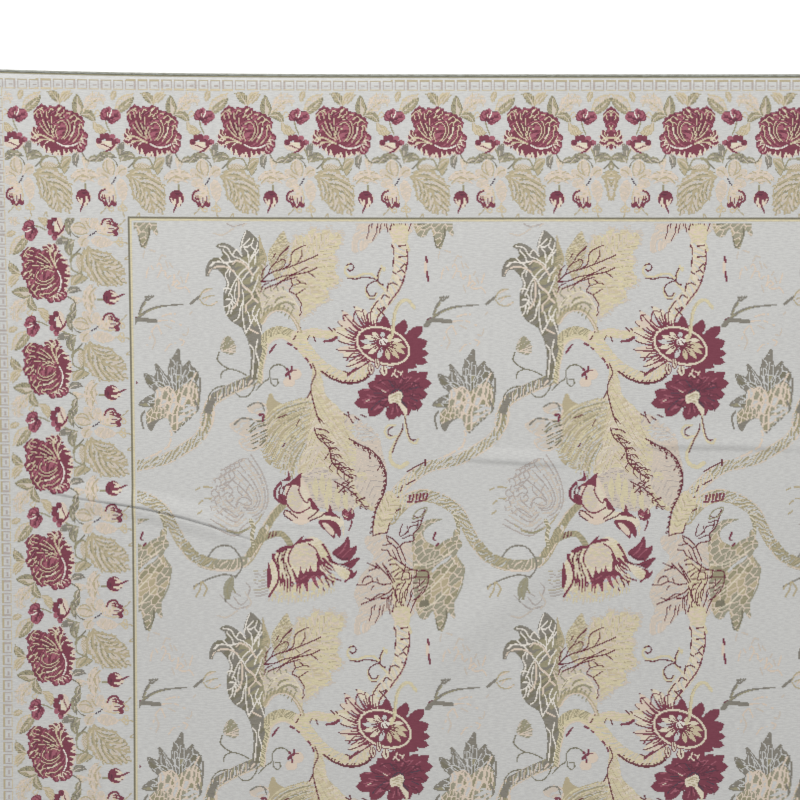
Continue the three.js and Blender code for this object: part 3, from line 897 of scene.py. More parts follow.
    # Inlaid leaves in greys and olives.
    shield = loop(
        [(211, 277), (208, 272), (211, 263), (217, 258), (225, 257), (224, 250), (219, 246), (227, 243),
         (236, 247), (245, 254),
         (243, 246), (246, 237), (250, 230), (258, 236), (265, 247), (269, 258), (266, 270), (264, 282),
         (266, 294), (267, 308),
         (265, 324), (263, 338), (264, 352), (262, 378), (252, 378), (253, 358), (250, 342), (244, 329),
         (235, 323), (229, 316),
         (226, 306), (226, 294), (229, 284), (226, 276), (220, 270), (214, 271)], 4)
    fill(shield, "slate")
    tile.fleck(loop([(238, 266), (252, 256), (266, 262), (264, 300), (262, 330), (250, 318), (240, 300)]),
        "olive", 0.5, 44, size=(6, 9), over=("slate",))
    tile.fleck(shield, "moss", 0.25, 45, size=(7, 10), over=("slate",))
    fill(loop([(262, 234), (266, 246), (270, 258), (267, 272), (262, 284), (258, 276), (262, 258)], 4),
        "tan")
    tile.fleck(oval((264, 268), 9, 40), "olive", 0.45, 46, size=(3, 2), over=("tan",))
    lines(
        "white", 1.4,
        ((222, 246), (230, 248), (236, 256), (243, 259), (250, 264), (252, 268)), ((213, 266), (220, 262),
            (229, 263), (238, 261)),
        ((226, 250), (231, 256), (233, 262)), ((253, 239), (247, 246), (251, 253), (252, 265)),
        ((257, 239), (255, 246), (259, 252), (258, 264)),
        ((245, 245), (250, 247), (255, 244)), ((261, 243), (259, 250), (254, 258)), ((231, 270), (228, 276),
            (231, 284), (228, 293)),
        ((231, 296), (238, 281), (246, 271), (250, 268)), ((236, 272), (243, 280), (247, 288), (255, 293)),
        ((244, 282), (249, 275), (255, 268)),
        ((255, 293), (259, 284), (262, 276)), ((226, 308), (232, 305), (235, 299), (233, 294)),
        ((228, 316), (231, 312), (232, 306)),
        ((236, 322), (241, 318), (243, 308), (246, 300), (245, 290)), ((246, 298), (245, 312), (246, 324),
            (248, 334)),
        ((248, 334), (253, 325), (258, 316)), ((262, 308), (259, 318), (262, 328), (264, 334)),
        ((233, 314), (235, 307), (234, 302)),
        ((252, 345), (256, 352), (255, 366), (254, 378)), ((260, 340), (258, 352), (261, 364), (259, 378)),
        ((236, 254), (240, 250), (245, 256)),
        ((249, 232), (246, 240), (244, 250)), ((262, 250), (257, 256), (253, 262)), ((229, 264), (233, 268),
            (232, 276)), ((226, 290), (230, 288), (233, 290)),
        ((250, 312), (252, 318), (253, 325)), ((239, 284), (237, 296), (240, 306)), ((258, 306), (255, 314),
            (258, 322)), ((228, 300), (233, 300), (238, 305)),
        ((216, 262), (214, 268)), ((222, 258), (226, 262)), ((262, 268), (257, 274), (254, 282)),
    )
    lines(
        "peach", 1.9,
        ((210, 275), (214, 269), (222, 267), (231, 268), (237, 272)), ((236, 264), (240, 261), (247, 264),
            (252, 270), (256, 276)),
        ((241, 280), (242, 292), (240, 302), (236, 309)), ((245, 286), (252, 291), (255, 298), (249, 305),
            (248, 312)), ((255, 298), (262, 304), (267, 309)),
        ((259, 290), (262, 297)), ((252, 330), (260, 334)), gaps=0.08, seed=3,
    )
    lines("slate", 2.6, ((209, 276), (211, 270), (216, 267)), tip=2)
    tile.stem(curve([(267, 262), (265, 274), (262, 288), (267, 302), (266, 320)]), 4.5, "tan",
        (("olive", 3.4, 1.4, -1, 1), ("blush", 4.9, 1.1, -1, 1)))
    tile.stem(curve([(268, 346), (266, 356), (263, 370), (262, 382)]), 5.5, "straw",
        (("olive", 3.2, 1.3, -1, 1),), ("peach", None))
    curls = loop([(265, 290), (274, 286), (284, 288), (292, 294), (300, 306), (303, 320), (301, 328),
        (294, 318), (286, 312), (276, 311), (269, 317), (264, 326), (262, 306)], 4)
    fill(curls, "blush")
    tile.fleck(curls, "straw", 0.35, 47)
    lines("tan", 3.6, ((264, 322), (270, 313), (279, 309), (290, 312), (298, 322), (303, 332)))
    lines("olive", 1.5, *(((266 + 3.6 * i, 318 - 7 * math.sin(0.42 * i + 0.3)),
        (267 + 4 * i, 311 - 6 * math.sin(0.4 * i + 0.3))) for i in range(8)))
    lines("peach", 1.4, ((266, 324), (272, 315), (281, 311), (291, 314), (299, 324), (302, 332)))
    lines("olive", 2.6, ((278, 303), (281, 299), (288, 297)), ((280, 306), (288, 303), (297, 305)),
        ((268, 304), (272, 298), (277, 296)), ((262, 304), (264, 314)), tip=1.2)
    lines("sage", 1.5, ((268, 289), (266, 294), (270, 298)), ((273, 285), (274, 291)),
        ((279, 285), (281, 291)), ((286, 287), (287, 292)), ((291, 302), (297, 309)),
        ((267, 310), (272, 306)))
    lines("cream", 1.3, ((265, 308), (271, 299), (279, 293), (288, 292), (296, 299), (302, 310)),
        ((277, 307), (281, 302), (290, 300), (297, 303)), ((273, 301), (275, 297), (272, 295)))
    hand = loop(
        [(151, 432), (147, 426), (147, 417), (153, 410), (158, 407), (148, 408), (139, 406), (146, 399),
         (156, 394), (150, 388),
         (146, 382), (145, 375), (154, 378), (157, 374), (156, 365), (163, 372), (168, 378), (170, 366),
         (175, 357), (180, 350),
         (181, 360), (184, 368), (190, 362), (192, 367), (196, 370), (200, 377), (197, 384), (201, 392),
         (200, 404), (198, 414),
         (191, 421), (184, 428), (176, 434), (171, 427), (168, 419), (160, 419), (154, 425)], 4)
    tile.mosaic(hand, ("slate", "slate", "moss", "slate", "olive"), "ground", (4.6, 9), 0, 12, False,
        "slate", (176, 402))
    for tip in ((157, 367), (171, 360), (180, 352), (191, 363), (199, 373), (146, 377), (140, 405)):
        lines("slate", 1.8, (tip, (tip[0] + (174 - tip[0]) * 0.3, tip[1] + (396 - tip[1]) * 0.3)), tip=2.6)
        lines("ground", 1.1, ((tip[0] + (174 - tip[0]) * 0.25, tip[1] + (396 - tip[1]) * 0.25),
            (tip[0] + (174 - tip[0]) * 0.6, tip[1] + (396 - tip[1]) * 0.6)))
    heart = loop([(156, 392), (164, 388), (176, 392), (188, 384), (197, 386), (200, 404), (197, 414),
        (188, 420), (174, 433), (168, 420), (158, 422), (150, 430), (148, 420), (154, 408)], 4)
    fill(heart, "ground")
    tile.mosaic(heart, ("olive", "sage", "ground", "olive", "sage"), "peach", (5.0, 9), 12, 13, True)
    tile.fleck(oval((192, 416), 26, 22), "ground", 0.5, 48, size=(4, 3), over=("peach", "olive", "sage"))
    lines("peach", 1.7, ((149, 428), (149, 419), (156, 409), (166, 405), (172, 402), (176, 396)),
        ((161, 392), (168, 388), (174, 392)), ((197, 374), (192, 384), (190, 396), (195, 408)))
    lines("ground", 3.0, ((200, 413), (192, 421), (184, 428), (178, 434)))
    claw = loop([(147, 424), (146, 414), (154, 408), (166, 410), (167, 417), (158, 419.5), (151, 424.5)])
    tile.mosaic(claw, ("olive", "sage"), "peach", (4, 6), 20, 31)
    fill(loop([(151, 433), (147.5, 427), (150, 424), (155, 421.5), (163, 419.5), (158, 422.5), (155, 426)]),
        "slate")
    lines("slate", 2.4, ((144, 413), (141, 419), (143, 430)), ((201, 380), (201, 390), (200, 399)),
        ((196, 402), (198, 407), (198, 411)), tip=1.6)
    lines("peach", 2.0, ((171, 432), (171, 440), (168, 448)), ((168, 448), (158, 454), (150, 458)),
        gaps=0.25)
    split = loop(
        [(118, 540), (124, 528), (134, 521), (149, 520), (138, 525), (130, 532), (130, 540), (136, 545),
         (143, 547), (150, 542),
         (158, 538), (162, 530), (165, 540), (168, 546), (162, 556), (170, 568), (169, 580), (164, 592),
         (160, 604), (160, 620),
         (154, 614), (152, 620), (147, 633), (141, 622), (138, 612), (132, 620), (124, 618), (120, 600),
         (118, 580), (118, 560)], 4)
    tile.mosaic(split, ("sage", "olive", "sage", "tan"), "peach", (5.2, 10), 48, 15)
    fill(loop([(138, 570), (148, 562), (158, 556), (152, 563), (144, 568), (138, 574)]), "ground")
    lines("sage", 1.4, ((160, 532), (158, 545), (150, 550)), ((164, 560), (169, 572), (167, 588),
        (160, 602)), ((147, 612), (150, 620), (147, 630)), gaps=0.1)
    lines("moss", 1.4, ((141, 620), (144, 631), (151, 622), (152, 612)))
    lines("cream", 1.2, ((120, 566), (132, 566), (146, 560), (158, 552)), ((122, 600), (136, 590),
        (150, 576), (160, 562)), ((126, 612), (140, 604), (154, 590)))
    lines("burgundy", 2.2, ((141, 534), (139, 540), (142, 542)), ((144, 545), (141, 548)), tip=1.2)

    # Curled buds beside the long leaf.
    for points in (
        [(249, 408), (256, 404), (263, 404), (268, 408), (267, 416), (259, 415), (252, 413)],
        [(231, 427), (239, 421), (247, 419), (256, 421), (266, 423), (266, 434), (254, 438), (242, 436)],
        [(240, 442), (249, 438), (258, 434), (267, 432), (266, 444), (259, 450), (250, 452), (243, 448)],
    ):
        bud = loop(points)
        fill(bud, "blush")
        tile.fleck(bud, "ground", 0.4, 51, size=(3, 2))
        stroke(closed(bud), "peach", 1.2, gaps=0.15)
    lines("slate", 1.5, ((249, 408), (255, 404.5), (261, 404), (266, 407)), ((235, 426), (242, 420),
        (250, 420), (258, 422), (265, 423)), ((264, 406), (266, 412)), gaps=0.08)
    lines(
        "moss", 1.7,
        ((266, 421), (256, 424), (248, 431)), ((267, 426), (258, 429), (250, 435)), ((268, 431), (259, 435),
            (250, 439)),
        ((268, 437), (261, 441), (252, 446)), ((266, 442), (261, 447), (254, 450)), tip=1.1, gaps=0.12,
        seed=2,
    )
    lines("olive", 1.2, ((266, 424), (257, 427), (250, 433)), ((268, 434), (260, 438), (252, 442)),
        ((267, 440), (261, 444)), gaps=0.1)
    lines("burgundy", 2.4, ((261, 416), (265, 416), (264, 422)))
    lines("maroon", 1.3, ((280, 419), (288, 416)), ((298, 427), (301, 421)), ((284, 448), (286, 445)))

    # Burgundy veins in the yellow leaf.
    lines(
        "maroon", 1.3,
        ((264, 282), (271, 275), (279, 271), (290, 268), (300, 264), (310, 260), (321, 255)),
        ((264, 282), (274, 281), (284, 277), (297, 274), (311, 267)),
        ((268, 289), (280, 284), (292, 277), (302, 274), (311, 272), (320, 268)),
    )
    lines(
        "maroon", 1.15,
        ((265, 278), (266, 271), (271, 265)), ((271, 275), (274, 268), (280, 261), (284, 254), (292, 248)),
        ((286, 269), (293, 264), (295, 254), (300, 249), (309, 245)), ((300, 264), (305, 256), (305, 250)),
        ((281, 262), (287, 259), (288, 264), (284, 269)), ((295, 266), (299, 270)),
        ((311, 272), (318, 277)),
        ((264, 292), (266, 286), (272, 283)), ((277, 289), (283, 283), (290, 280), (300, 277)),
        ((294, 279), (295, 286), (292, 291), (298, 295), (304, 304), (303, 309), (304, 313), (302, 316)),
        ((295, 286), (303, 283), (299, 279)), ((303, 283), (309, 284)), ((299, 295), (308, 289)),
        ((276, 258), (279, 253)),
        ((284, 255), (289, 249), (293, 246)),
    )

    # Veins of the long leaf, its thorny branch and the net of the blush leaf.
    lines("maroon", 1.3, ((315, 364), (318, 374), (314, 384), (313, 392), (316, 406), (319, 417)),
        ((316, 429), (319, 438), (331, 450), (333, 462), (341, 471), (352, 479)))
    tile.twigs(curve([(316, 430), (320, 439), (330, 449), (333, 461), (340, 470), (354, 480)]), "maroon", 6,
        13, 38, 4, 1.2, (-1,), fork=1)
    lines(
        "maroon", 1.1,
        ((331, 450), (337, 449), (341, 452)), ((333, 457), (340, 456), (344, 460)), ((334, 464), (331, 469),
            (334, 473)), ((340, 468), (339, 474), (343, 479)),
        ((343, 471), (350, 469), (353, 473)), ((346, 475), (346, 481), (350, 484)), ((337, 466), (344, 464),
            (348, 467)), ((330, 455), (326, 461)),
    )
    lines("maroon", 1.2, ((319, 417), (322, 424)), ((319, 417), (326, 425)), ((313, 391), (309, 399)),
        ((318, 430), (326, 431), (331, 434)), ((321, 436), (329, 441), (336, 444)))
    lines("maroon", 1.3, ((346, 415), (351, 418), (355, 424)), ((350, 413), (351, 416)),
        ((357, 418), (361, 421)), ((363, 416), (368, 418)))
    tile.twigs(curve([(336, 483), (348, 489), (359, 499), (368, 511)]), "maroon", 4, 7, 60, 9, 1.4, fork=1)
    tile.twigs(curve([(340, 494), (346, 488), (354, 482)]), "maroon", 4, 5, 60, 10, 1.1)
    tile.twigs(curve([(351, 440), (362, 446), (372, 451), (381, 459), (387, 472), (388, 484), (384, 498),
        (378, 510), (375, 524), (374, 537)]), "maroon", 5, 5.5, 45, 11, 1.4, (1,), fork=1)
    lines("maroon", 1.3, ((374, 537), (381, 535), (388, 534)), ((389, 533), (391, 525)),
        ((370, 449), (372, 460)), ((379, 460), (382, 466), (379, 472)))
    tile.fleck(loop([(418, 569), (430, 572), (430, 585), (419, 584)]), "olive", 0.8, 95, size=(4, 5))
    tile.fleck(oval((426, 606), 10, 12), "moss", 0.5, 96, size=(3, 3))
    lines(
        "maroon", 1.25,
        ((388, 537), (390, 543), (397, 549), (400, 556), (404, 565), (409, 569), (418, 572), (429, 573),
         (429, 585), (423, 596), (414, 602)),
        ((388, 537), (395, 541), (401, 548), (407, 562)), ((398, 550), (406, 544), (415, 542), (415, 535),
            (421, 528), (427, 511)),
        ((394, 584), (388, 576), (381, 569), (377, 565)), ((396, 583), (390, 573), (384, 565)),
        ((368, 564), (374, 567), (380, 570)), ((370, 572), (376, 570), (378, 567)),
        ((392, 585), (384, 586), (374, 583), (367, 586), (358, 586)), ((374, 583), (372, 578), (366, 579),
            (363, 584)), ((372, 591), (375, 587)), ((380, 585), (378, 579)),
        ((394, 590), (388, 595), (380, 596), (372, 601), (366, 599)), ((386, 596), (380, 599), (372, 602),
            (362, 606)), ((382, 600), (390, 599), (394, 594)),
        ((394, 588), (398, 598), (397, 607), (400, 612), (398, 618)), ((407, 583), (402, 592), (401, 602),
            (405, 611)),
    )
    lines(
        "maroon", 1.1,
        ((401, 537), (402, 530), (404, 526)), ((402, 538), (408, 534), (412, 528), (420, 526)),
        ((404, 540), (411, 537), (415, 536)), ((410, 534), (409, 528)),
        ((384, 547), (393, 545)), ((383, 551), (389, 552), (392, 557), (398, 560)), ((390, 562), (396, 560),
            (403, 565)), ((394, 552), (398, 560)), ((416, 518), (422, 518), (427, 511)),
        ((414, 524), (424, 521)), ((418, 530), (420, 522)), ((391, 566), (398, 566), (404, 571),
            (413, 571)), ((396, 578), (402, 573), (410, 574)), ((397, 580), (405, 581), (415, 579),
                (429, 578)),
        ((384, 566), (389, 574), (393, 582)), ((389, 571), (390, 579)), ((393, 574), (400, 570)),
        ((405, 572), (403, 580)), ((411, 574), (411, 580)), ((418, 573), (417, 579)),
        ((373, 608), (372, 616), (370, 622)), ((381, 607), (380, 616), (376, 624)),
        ((385, 606), (383, 616)), ((390, 605), (391, 615)), ((388, 600), (388, 609)),
        ((376, 606), (375, 611)),
        ((400, 585), (396, 595), (400, 604)), ((413, 576), (412, 584), (406, 594), (407, 602)),
        ((421, 580), (420, 588), (413, 591), (412, 600)), ((414, 594), (411, 602), (408, 610)),
        ((427, 580), (422, 586)), ((426, 588), (419, 593)), ((424, 592), (418, 600)),
        ((404, 594), (403, 604)), ((393, 597), (392, 606)), ((389, 597), (390, 603)),
        ((404, 606), (408, 612), (405, 617)), ((418, 600), (414, 608), (412, 614)),
        ((393, 612), (396, 620)), ((410, 585), (408, 597)), ((404, 614), (402, 621)),
        ((398, 588), (404, 584)),
        ((395, 606), (394, 614)), ((401, 612), (399, 620)), ((409, 612), (407, 618)),
        ((396, 592), (401, 590)), ((415, 584), (421, 584)), ((407, 566), (406, 572)),
    )
    fill(petal((414, 520), (429, 509), 7), None, "olive", 1.2)

    # The segmented pale stem over the round flower.
    ladder = curve([(402, 240), (403, 249), (404, 258), (403, 268), (401, 278), (397, 288), (391, 297),
        (384, 305), (379, 312)])
    tile.stem(ladder, 13.5, "cream", (("peach", 4.6, 1.5, -1, 1), ("straw", 5.9, 1.3, -1, 1),
        ("ground", 7.1, 1.6, -0.8, 0.8)))
    lines("burgundy", 1.5, ((410, 250), (411, 258), (409, 270), (406, 281), (402, 290), (396, 298),
        (391, 305)), gaps=0.1)
    lines(
        "maroon", 1.4,
        ((395, 245), (397, 249), (397, 254)), ((397, 258), (396, 266)), ((396, 272), (399, 274)),
        ((402, 246), (409, 245)), ((402, 257), (410, 256)),
        ((404, 268), (408, 264), (410, 266)), ((401, 272), (405, 270), (408, 273)),
        ((403, 280), (407, 281)), ((391, 285), (396, 283), (400, 285)), ((390, 291), (391, 284)),
        ((384, 299), (387, 295), (392, 298)), ((374, 311), (377, 306), (381, 301)),
        ((382, 310), (387, 307)), ((381, 316), (388, 308)), ((380, 308), (387, 316)),
    )
    fill(loop([(395, 227), (410, 225), (411, 240), (404, 243), (396, 240)]), "straw")
    tile.fleck(oval((402, 234), 17, 18), "peach", 0.5, 61)
    # Curls and dashes beside it.
    lines("straw", 2.4, ((352, 264), (348, 270), (351, 276), (358, 277), (367, 274), (374, 274), (380, 278),
        (383, 272), (385, 266)), ((380, 281), (384, 286), (388, 290)))
    lines("maroon", 1.3, ((350, 265), (355, 264), (357, 268), (353, 271), (351, 269)),
        ((351, 278), (359, 279), (367, 277), (378, 279)), ((381, 279), (381, 274), (384, 268)))
    lines("straw", 2.0, ((369, 288), (370, 296), (375, 299), (380, 294)))
    lines("maroon", 1.4, ((381, 280), (374, 283), (370, 287), (370, 292), (373, 296), (377, 296),
        (379, 293)), ((372, 299), (377, 299)), ((380, 279), (382, 283), (386, 285)))
    fill(oval((387, 269), 4, 5), "straw")
    lines("peach", 3.0, ((429, 262), (429, 272)))
    lines("burgundy", 2.2, ((429, 257), (430, 262)), ((430, 272), (431, 281)))

    # The round flower: lobed dark petals, fringed on its left, with a ring of pale petals.
    for tip, width in (((425, 327), 11), ((430, 342), 12), ((431, 354), 9), ((430, 363), 9),
            ((419, 368), 11), ((408, 376), 14)):
        fill(petal((392, 349), tip, width, -0.04, 0.74, 0.7), "burgundy")
    fill(oval((386, 345), 60, 42, 20), "burgundy")
    for points in ([(379, 326), (383, 322), (387, 316), (391, 321), (392, 328)], [(396, 330), (400, 325),
            (407, 320), (410, 325), (409, 331), (404, 335)]):
        fill(loop(points), "burgundy")
    hub = np.array((383.5, 344.8))
    fringe = (
        (345, 311), (357, 307), (366, 309), (340, 322), (338, 331), (341, 341), (339, 350), (346, 358),
        (349, 367), (359, 369), (374, 312),
    )
    for i, tip in enumerate(fringe):
        base = hub + (np.array(tip) - hub) * 0.42
        fill(petal(base, tip, 8, 0.08 * (-1) ** i, 0.6, 0.7), "cream" if i % 3 else "peach")
    for i, tip in enumerate(fringe):
        base, tip = hub + (np.array(tip) - hub) * 0.5, np.array(tip)
        side = np.array((tip[1] - base[1], base[0] - tip[0])) / np.hypot(*(tip - base))
        lines("burgundy", 3.0, (base + 3.6 * side, base + 3.4 * side + (tip - base) * 0.35,
            base + 2.6 * side + (tip - base) * 0.62), tip=1.0)
        lines("burgundy", 2.0, (base, base + (tip - base) * 0.2 + side, base + (tip - base) * 0.46),
            tip=1.0)
        lines("maroon", 1.1, (base + 2.6 * side + (tip - base) * 0.6,
            base + 1.6 * side + (tip - base) * 0.85, tip), gaps=0.2, seed=i)
    for points in (((356, 322), (358, 312), (365, 312)), ((347, 321), (346, 316), (351, 315)),
            ((371, 325), (370, 315), (375, 312)), ((379, 324), (381, 317), (388, 309)),
            ((349, 361), (353, 356), (357, 353)), ((352, 362), (357, 359), (360, 356))):
        lines("burgundy", 1.6, points, tip=1.1)
    ring = oval((385.6, 346.4), 54, 35, 20)
    fill(ring, "burgundy")
    hub = np.array((386.0, 342.4))
    for i in range(13):
        turn = math.radians(20 + 27.7 * i)
        tip = np.array((385.6 + 23.0 * math.cos(turn),
            346.4 + 14.2 * math.sin(turn) + 3.6 * math.cos(turn)))
        start = hub + (tip - hub) * 0.3
        fill(petal(start, tip, 4.7, 0.04, 0.55, 0.8), "wheat" if i in (0, 1, 2,
            12) else "ground" if i % 3 == 0 else "cream")
        lines("maroon", 1.0, (start + (tip - start) * 0.1, start + (tip - start) * 0.4))
    stroke(closed(ring), "cream", 2.1)
    fill(oval(hub, 9, 7), "white")
    lines("maroon", 1.2, ((383, 342), (385, 347), (390, 348), (394, 344)), ((386, 341), (389, 344),
        (392, 342)))
    lines("straw", 3.4, ((392, 341), (395, 334), (396, 324), (398, 312), (402, 304), (409, 300), (414, 304),
        (417, 308)))
    lines("tan", 1.0, ((394, 336), (395, 324), (397, 312), (402, 303)), gaps=0.3)

    # The dark daisy below it, turned away, with its stalk.
    heads = (
        ((434, 384), 12, 0.08), ((430, 395), 11, 0), ((425, 405), 13, -0.1), ((411, 416), 13, 0),
        ((401, 418), 11, 0), ((391, 421), 12, 0.05), ((371, 417), 13, -0.05),
        ((356, 404), 13, 0.05), ((360, 392), 13, 0.1), ((370, 384), 11, 0), ((378, 376), 12, 0),
        ((394, 368), 16, 0), ((408, 370), 16, 0), ((419, 372), 11, 0), ((430, 373), 11, 0),
    )
    for tip, width, bend in heads:
        fill(petal((397, 396), tip, width, bend, 0.7, 0.62), "burgundy")
    fill(oval((398, 393), 46, 32, 6), "burgundy")
    for i, (tip, width, bend) in enumerate(heads):
        middle = spine((397, 396), tip, bend)
        lines("rose", 1.2, middle[6:10], gaps=0.15, seed=i)
        side = spine((397, 396), np.array(tip) + (3, 4), bend)
        lines("plum", 1.1, side[3:9], gaps=0.1, seed=i)
    tile.fleck(oval((408, 386), 36, 16, 0), "plum", 0.3, 71, size=(4, 1), over=("burgundy",))
    lines("rose", 1.3, ((382, 389), (387, 392), (391, 391)), ((384, 401), (390, 400)),
        ((365, 401), (373, 399)), ((379, 409), (384, 408)), ((404, 380), (411, 378)),
        ((367, 391), (373, 390)))
    lines("peach", 1.0, ((384, 391), (388, 393)), ((368, 402), (371, 401)), gaps=0.1)
    lines(
        "plum", 1.3,
        ((380, 384), (388, 381), (396, 384), (402, 388)), ((404, 386), (412, 383), (420, 385), (424, 391)),
        ((412, 396), (420, 395), (426, 399)), ((376, 396), (384, 396), (390, 399)),
        ((378, 405), (385, 406), (392, 410)), ((411, 403), (417, 406), (420, 412)), ((392, 378), (400, 377),
            (407, 381)), ((372, 389), (379, 392)), gaps=0.1,
    )
    lines(
        "ink", 1.0,
        ((386, 399), (378, 405), (373, 411)), ((384, 394), (376, 394)), ((405, 407), (409, 412)),
        ((412, 390), (421, 388)), ((413, 399), (420, 402)),
        ((396, 388), (391, 381)), gaps=0.1,
    )
    for x, y, size in ((374, 376, 4.5), (387, 378, 7), (380, 370, 4)):
        fill(petal((x - 1, y - 12), (x, y), size + 2.4, 0, 0.5), "burgundy")
        fill(petal((x - 1, y - 12), (x, y - 1), size, 0, 0.5), "cream")
        lines("maroon", 1.2, ((x - 1, y - 11), (x, y - 4)))
    lines("peach", 1.6, ((398, 370), (397, 375), (400, 378)), ((400, 372), (404, 374)),
        ((403, 376), (405, 372)), ((396, 374), (394, 377)))
    lines("ink", 1.4, ((393, 394), (400, 390), (405, 395), (404, 402), (409, 408)))
    fill(loop([(391, 397), (396, 394), (402, 392), (405, 397), (403, 403), (409, 410), (408, 417),
        (405, 413), (399, 404), (392, 404)]), "cream")
    tile.fleck(oval((398, 399), 12, 12), "tan", 0.35, 72, over=("cream",))
    lines("straw", 2.4, ((404, 432), (398, 442), (393, 452), (392, 460), (396, 466), (403, 468),
        (409, 464)), tip=4.4)
    lines("straw", 2.2, ((407, 417), (408, 428), (410, 437), (413, 443), (418, 444), (420, 440)),
        ((397, 426), (390, 427), (387, 433), (391, 439), (398, 437)))
    lines("maroon", 1.3, ((407, 418), (409, 428), (411, 437), (414, 441), (418, 441)),
        ((405, 425), (404, 432), (399, 441), (394, 454)), ((395, 428), (391, 430), (390, 435), (394, 437)))
    # Small clawed bud.
    fill(oval((298, 375), 11, 11), "peach")
    fill(oval((291, 383), 12, 10), "peach")
    lines("burgundy", 2.6, ((288, 376), (292, 372), (298, 371)), ((291, 373), (292, 380)),
        ((289, 370), (292, 373)), ((294, 368), (293, 373)), tip=1.2)

    # The left tulip of the pair.
    fill(loop([(285, 513), (292, 522), (301, 526), (311, 523), (319, 514), (312, 508), (300, 514),
        (291, 512)]), "peach")
    fill(loop([(289, 484), (297, 482), (303, 478), (309, 490), (313, 502), (305, 512), (294, 513),
        (286, 505), (286, 494)]), "peach")
    fill(oval((295.5, 500.5), 16, 25, 0), "blush")
    tile.fleck(oval((295.5, 500.5), 13, 20, 0), "straw", 0.35, 81)
    fill(loop([(303, 486), (309, 494), (313, 503), (319, 512), (330, 514), (341, 518), (345, 524),
        (340, 530), (330, 523), (318, 520), (306, 512)]), "cream")
    lines("burgundy", 1.5, ((292, 487), (288, 495), (287, 503), (293, 512), (301, 514), (311, 509)),
        ((301, 486), (300, 492), (303, 499), (308, 504), (311, 500), (316, 508), (319, 511)))
    lines("maroon", 1.4, ((309, 520), (315, 516), (320, 511)), ((311, 522), (321, 518), (329, 514),
        (341, 519)), ((291, 513), (286, 512), (285, 516), (290, 520), (293, 522)), ((291, 514), (298, 519)))
    for points in (
        [(288, 487), (294, 481), (303, 474), (302, 480), (301, 487), (295, 486)], [(283, 482), (289, 478),
            (289, 472), (292, 479), (290, 482)],
        [(280, 495), (286, 497), (287, 502), (285, 506), (280, 503)], [(311, 499), (315, 503), (320, 511),
            (313, 510)], [(324, 516), (329, 513), (331, 506), (334, 513), (339, 518)],
        [(343, 514), (346, 510), (350, 513), (353, 509), (356, 516), (353, 521), (346, 521)],
    ):
        fill(loop(points, 3), "burgundy")
    tile.fleck(oval((349.5, 515.5), 12, 10), "rose", 0.3, 97, size=(2, 2), over=("burgundy",))
    lines("cream", 1.0, ((345, 517), (349, 519)), ((353, 511), (354, 515)))
    lines("burgundy", 2.0, ((351, 518), (353, 524), (350, 532)), ((284, 489), (291, 484)), tip=1.0)
    lines("burgundy", 2.8, ((282, 484), (276, 491), (276, 498), (280, 503), (287, 505)), tip=2.2)
    lines("maroon", 1.2, ((283, 486), (280, 494), (284, 502)), ((286, 488), (283, 496)), gaps=0.1)
    fill(loop([(320, 522), (329, 521), (338, 524), (342, 532), (341, 539), (337, 535), (335, 540),
        (328, 533), (322, 528)]), "burgundy")
    fill(loop([(323, 524), (330, 526), (335, 532), (334, 537), (328, 532)]), "peach")
    lines("cream", 1.5, ((322, 519), (333, 519), (342, 523), (346, 530)), ((344, 530), (345, 536)))
    # The right one, broad and fringed.
    for i in range(30):
        x = 270 + 2.2 * i
        y = 605 - 0.0062 * (x - 290) ** 2
        lines("straw" if i % 3 else "blush", 2.9, ((x + 2, y - 18), (x + 1, y - 8),
            (x - 1 + i % 3, y - i % 4)), tip=1.2, gaps=0.1, seed=i)
    fill(loop([(292, 547), (303, 542), (313, 538), (322, 542), (328, 549), (333, 560), (330, 572),
        (322, 578), (304, 582), (288, 586), (272, 594), (268, 586), (268, 572), (272, 560), (280, 551)]),
        "cream")
    tile.fleck(loop([(292, 547), (328, 549), (333, 560), (304, 588), (272, 594), (268, 572), (280, 551)]),
        "straw", 0.35, 89, over=("cream",))
    tile.fleck(oval((323, 550), 18, 22, 50), "straw", 0.6, 90, over=("cream",))
    ball = oval((304, 557), 29, 26)
    fill(ball, "blush")
    tile.fleck(ball, "straw", 0.3, 91)
    tile.fleck(ball, "peach", 0.25, 92)
    lines("burgundy", 1.5, ((294, 548), (290, 555), (289, 563), (293, 571), (297, 580)),
        ((309, 545), (316, 550), (321, 560)), gaps=0.1)
    fill(loop([(276, 553), (283, 548), (289, 547), (294, 546), (300, 540), (305, 537), (303, 541),
        (308, 540), (315, 541), (310, 543), (304, 544), (297, 546), (293, 549), (287, 551), (283, 554)], 3),
        "burgundy")
    fill(loop([(269, 564), (271, 572), (272, 580), (270, 588), (267.6, 588), (267.6, 572)]), "burgundy")
    lines("burgundy", 2.2, ((273, 556), (277, 567), (279, 575), (278, 584), (273, 592), (269, 598)))
    fill(loop([(272, 558), (276, 555), (275, 560), (278, 567), (275, 565)], 3), "burgundy")
    lines("maroon", 1.4, ((281, 553), (278, 561), (280, 570)), ((287, 551), (284, 560), (285, 570),
        (287, 577)), ((286, 564), (288, 572), (291, 579)), ((283, 556), (282, 562)), gaps=0.12)
    for x, low, high in ((282.5, 575, 587), (284.5, 581, 591), (287.5, 580, 593), (290.5, 578, 592),
            (280.5, 579, 588), (293, 584, 588)):
        lines("burgundy", 2.0, ((x, low), (x + 0.6, (low + high) / 2), (x - 0.4, high)), tip=1.2)
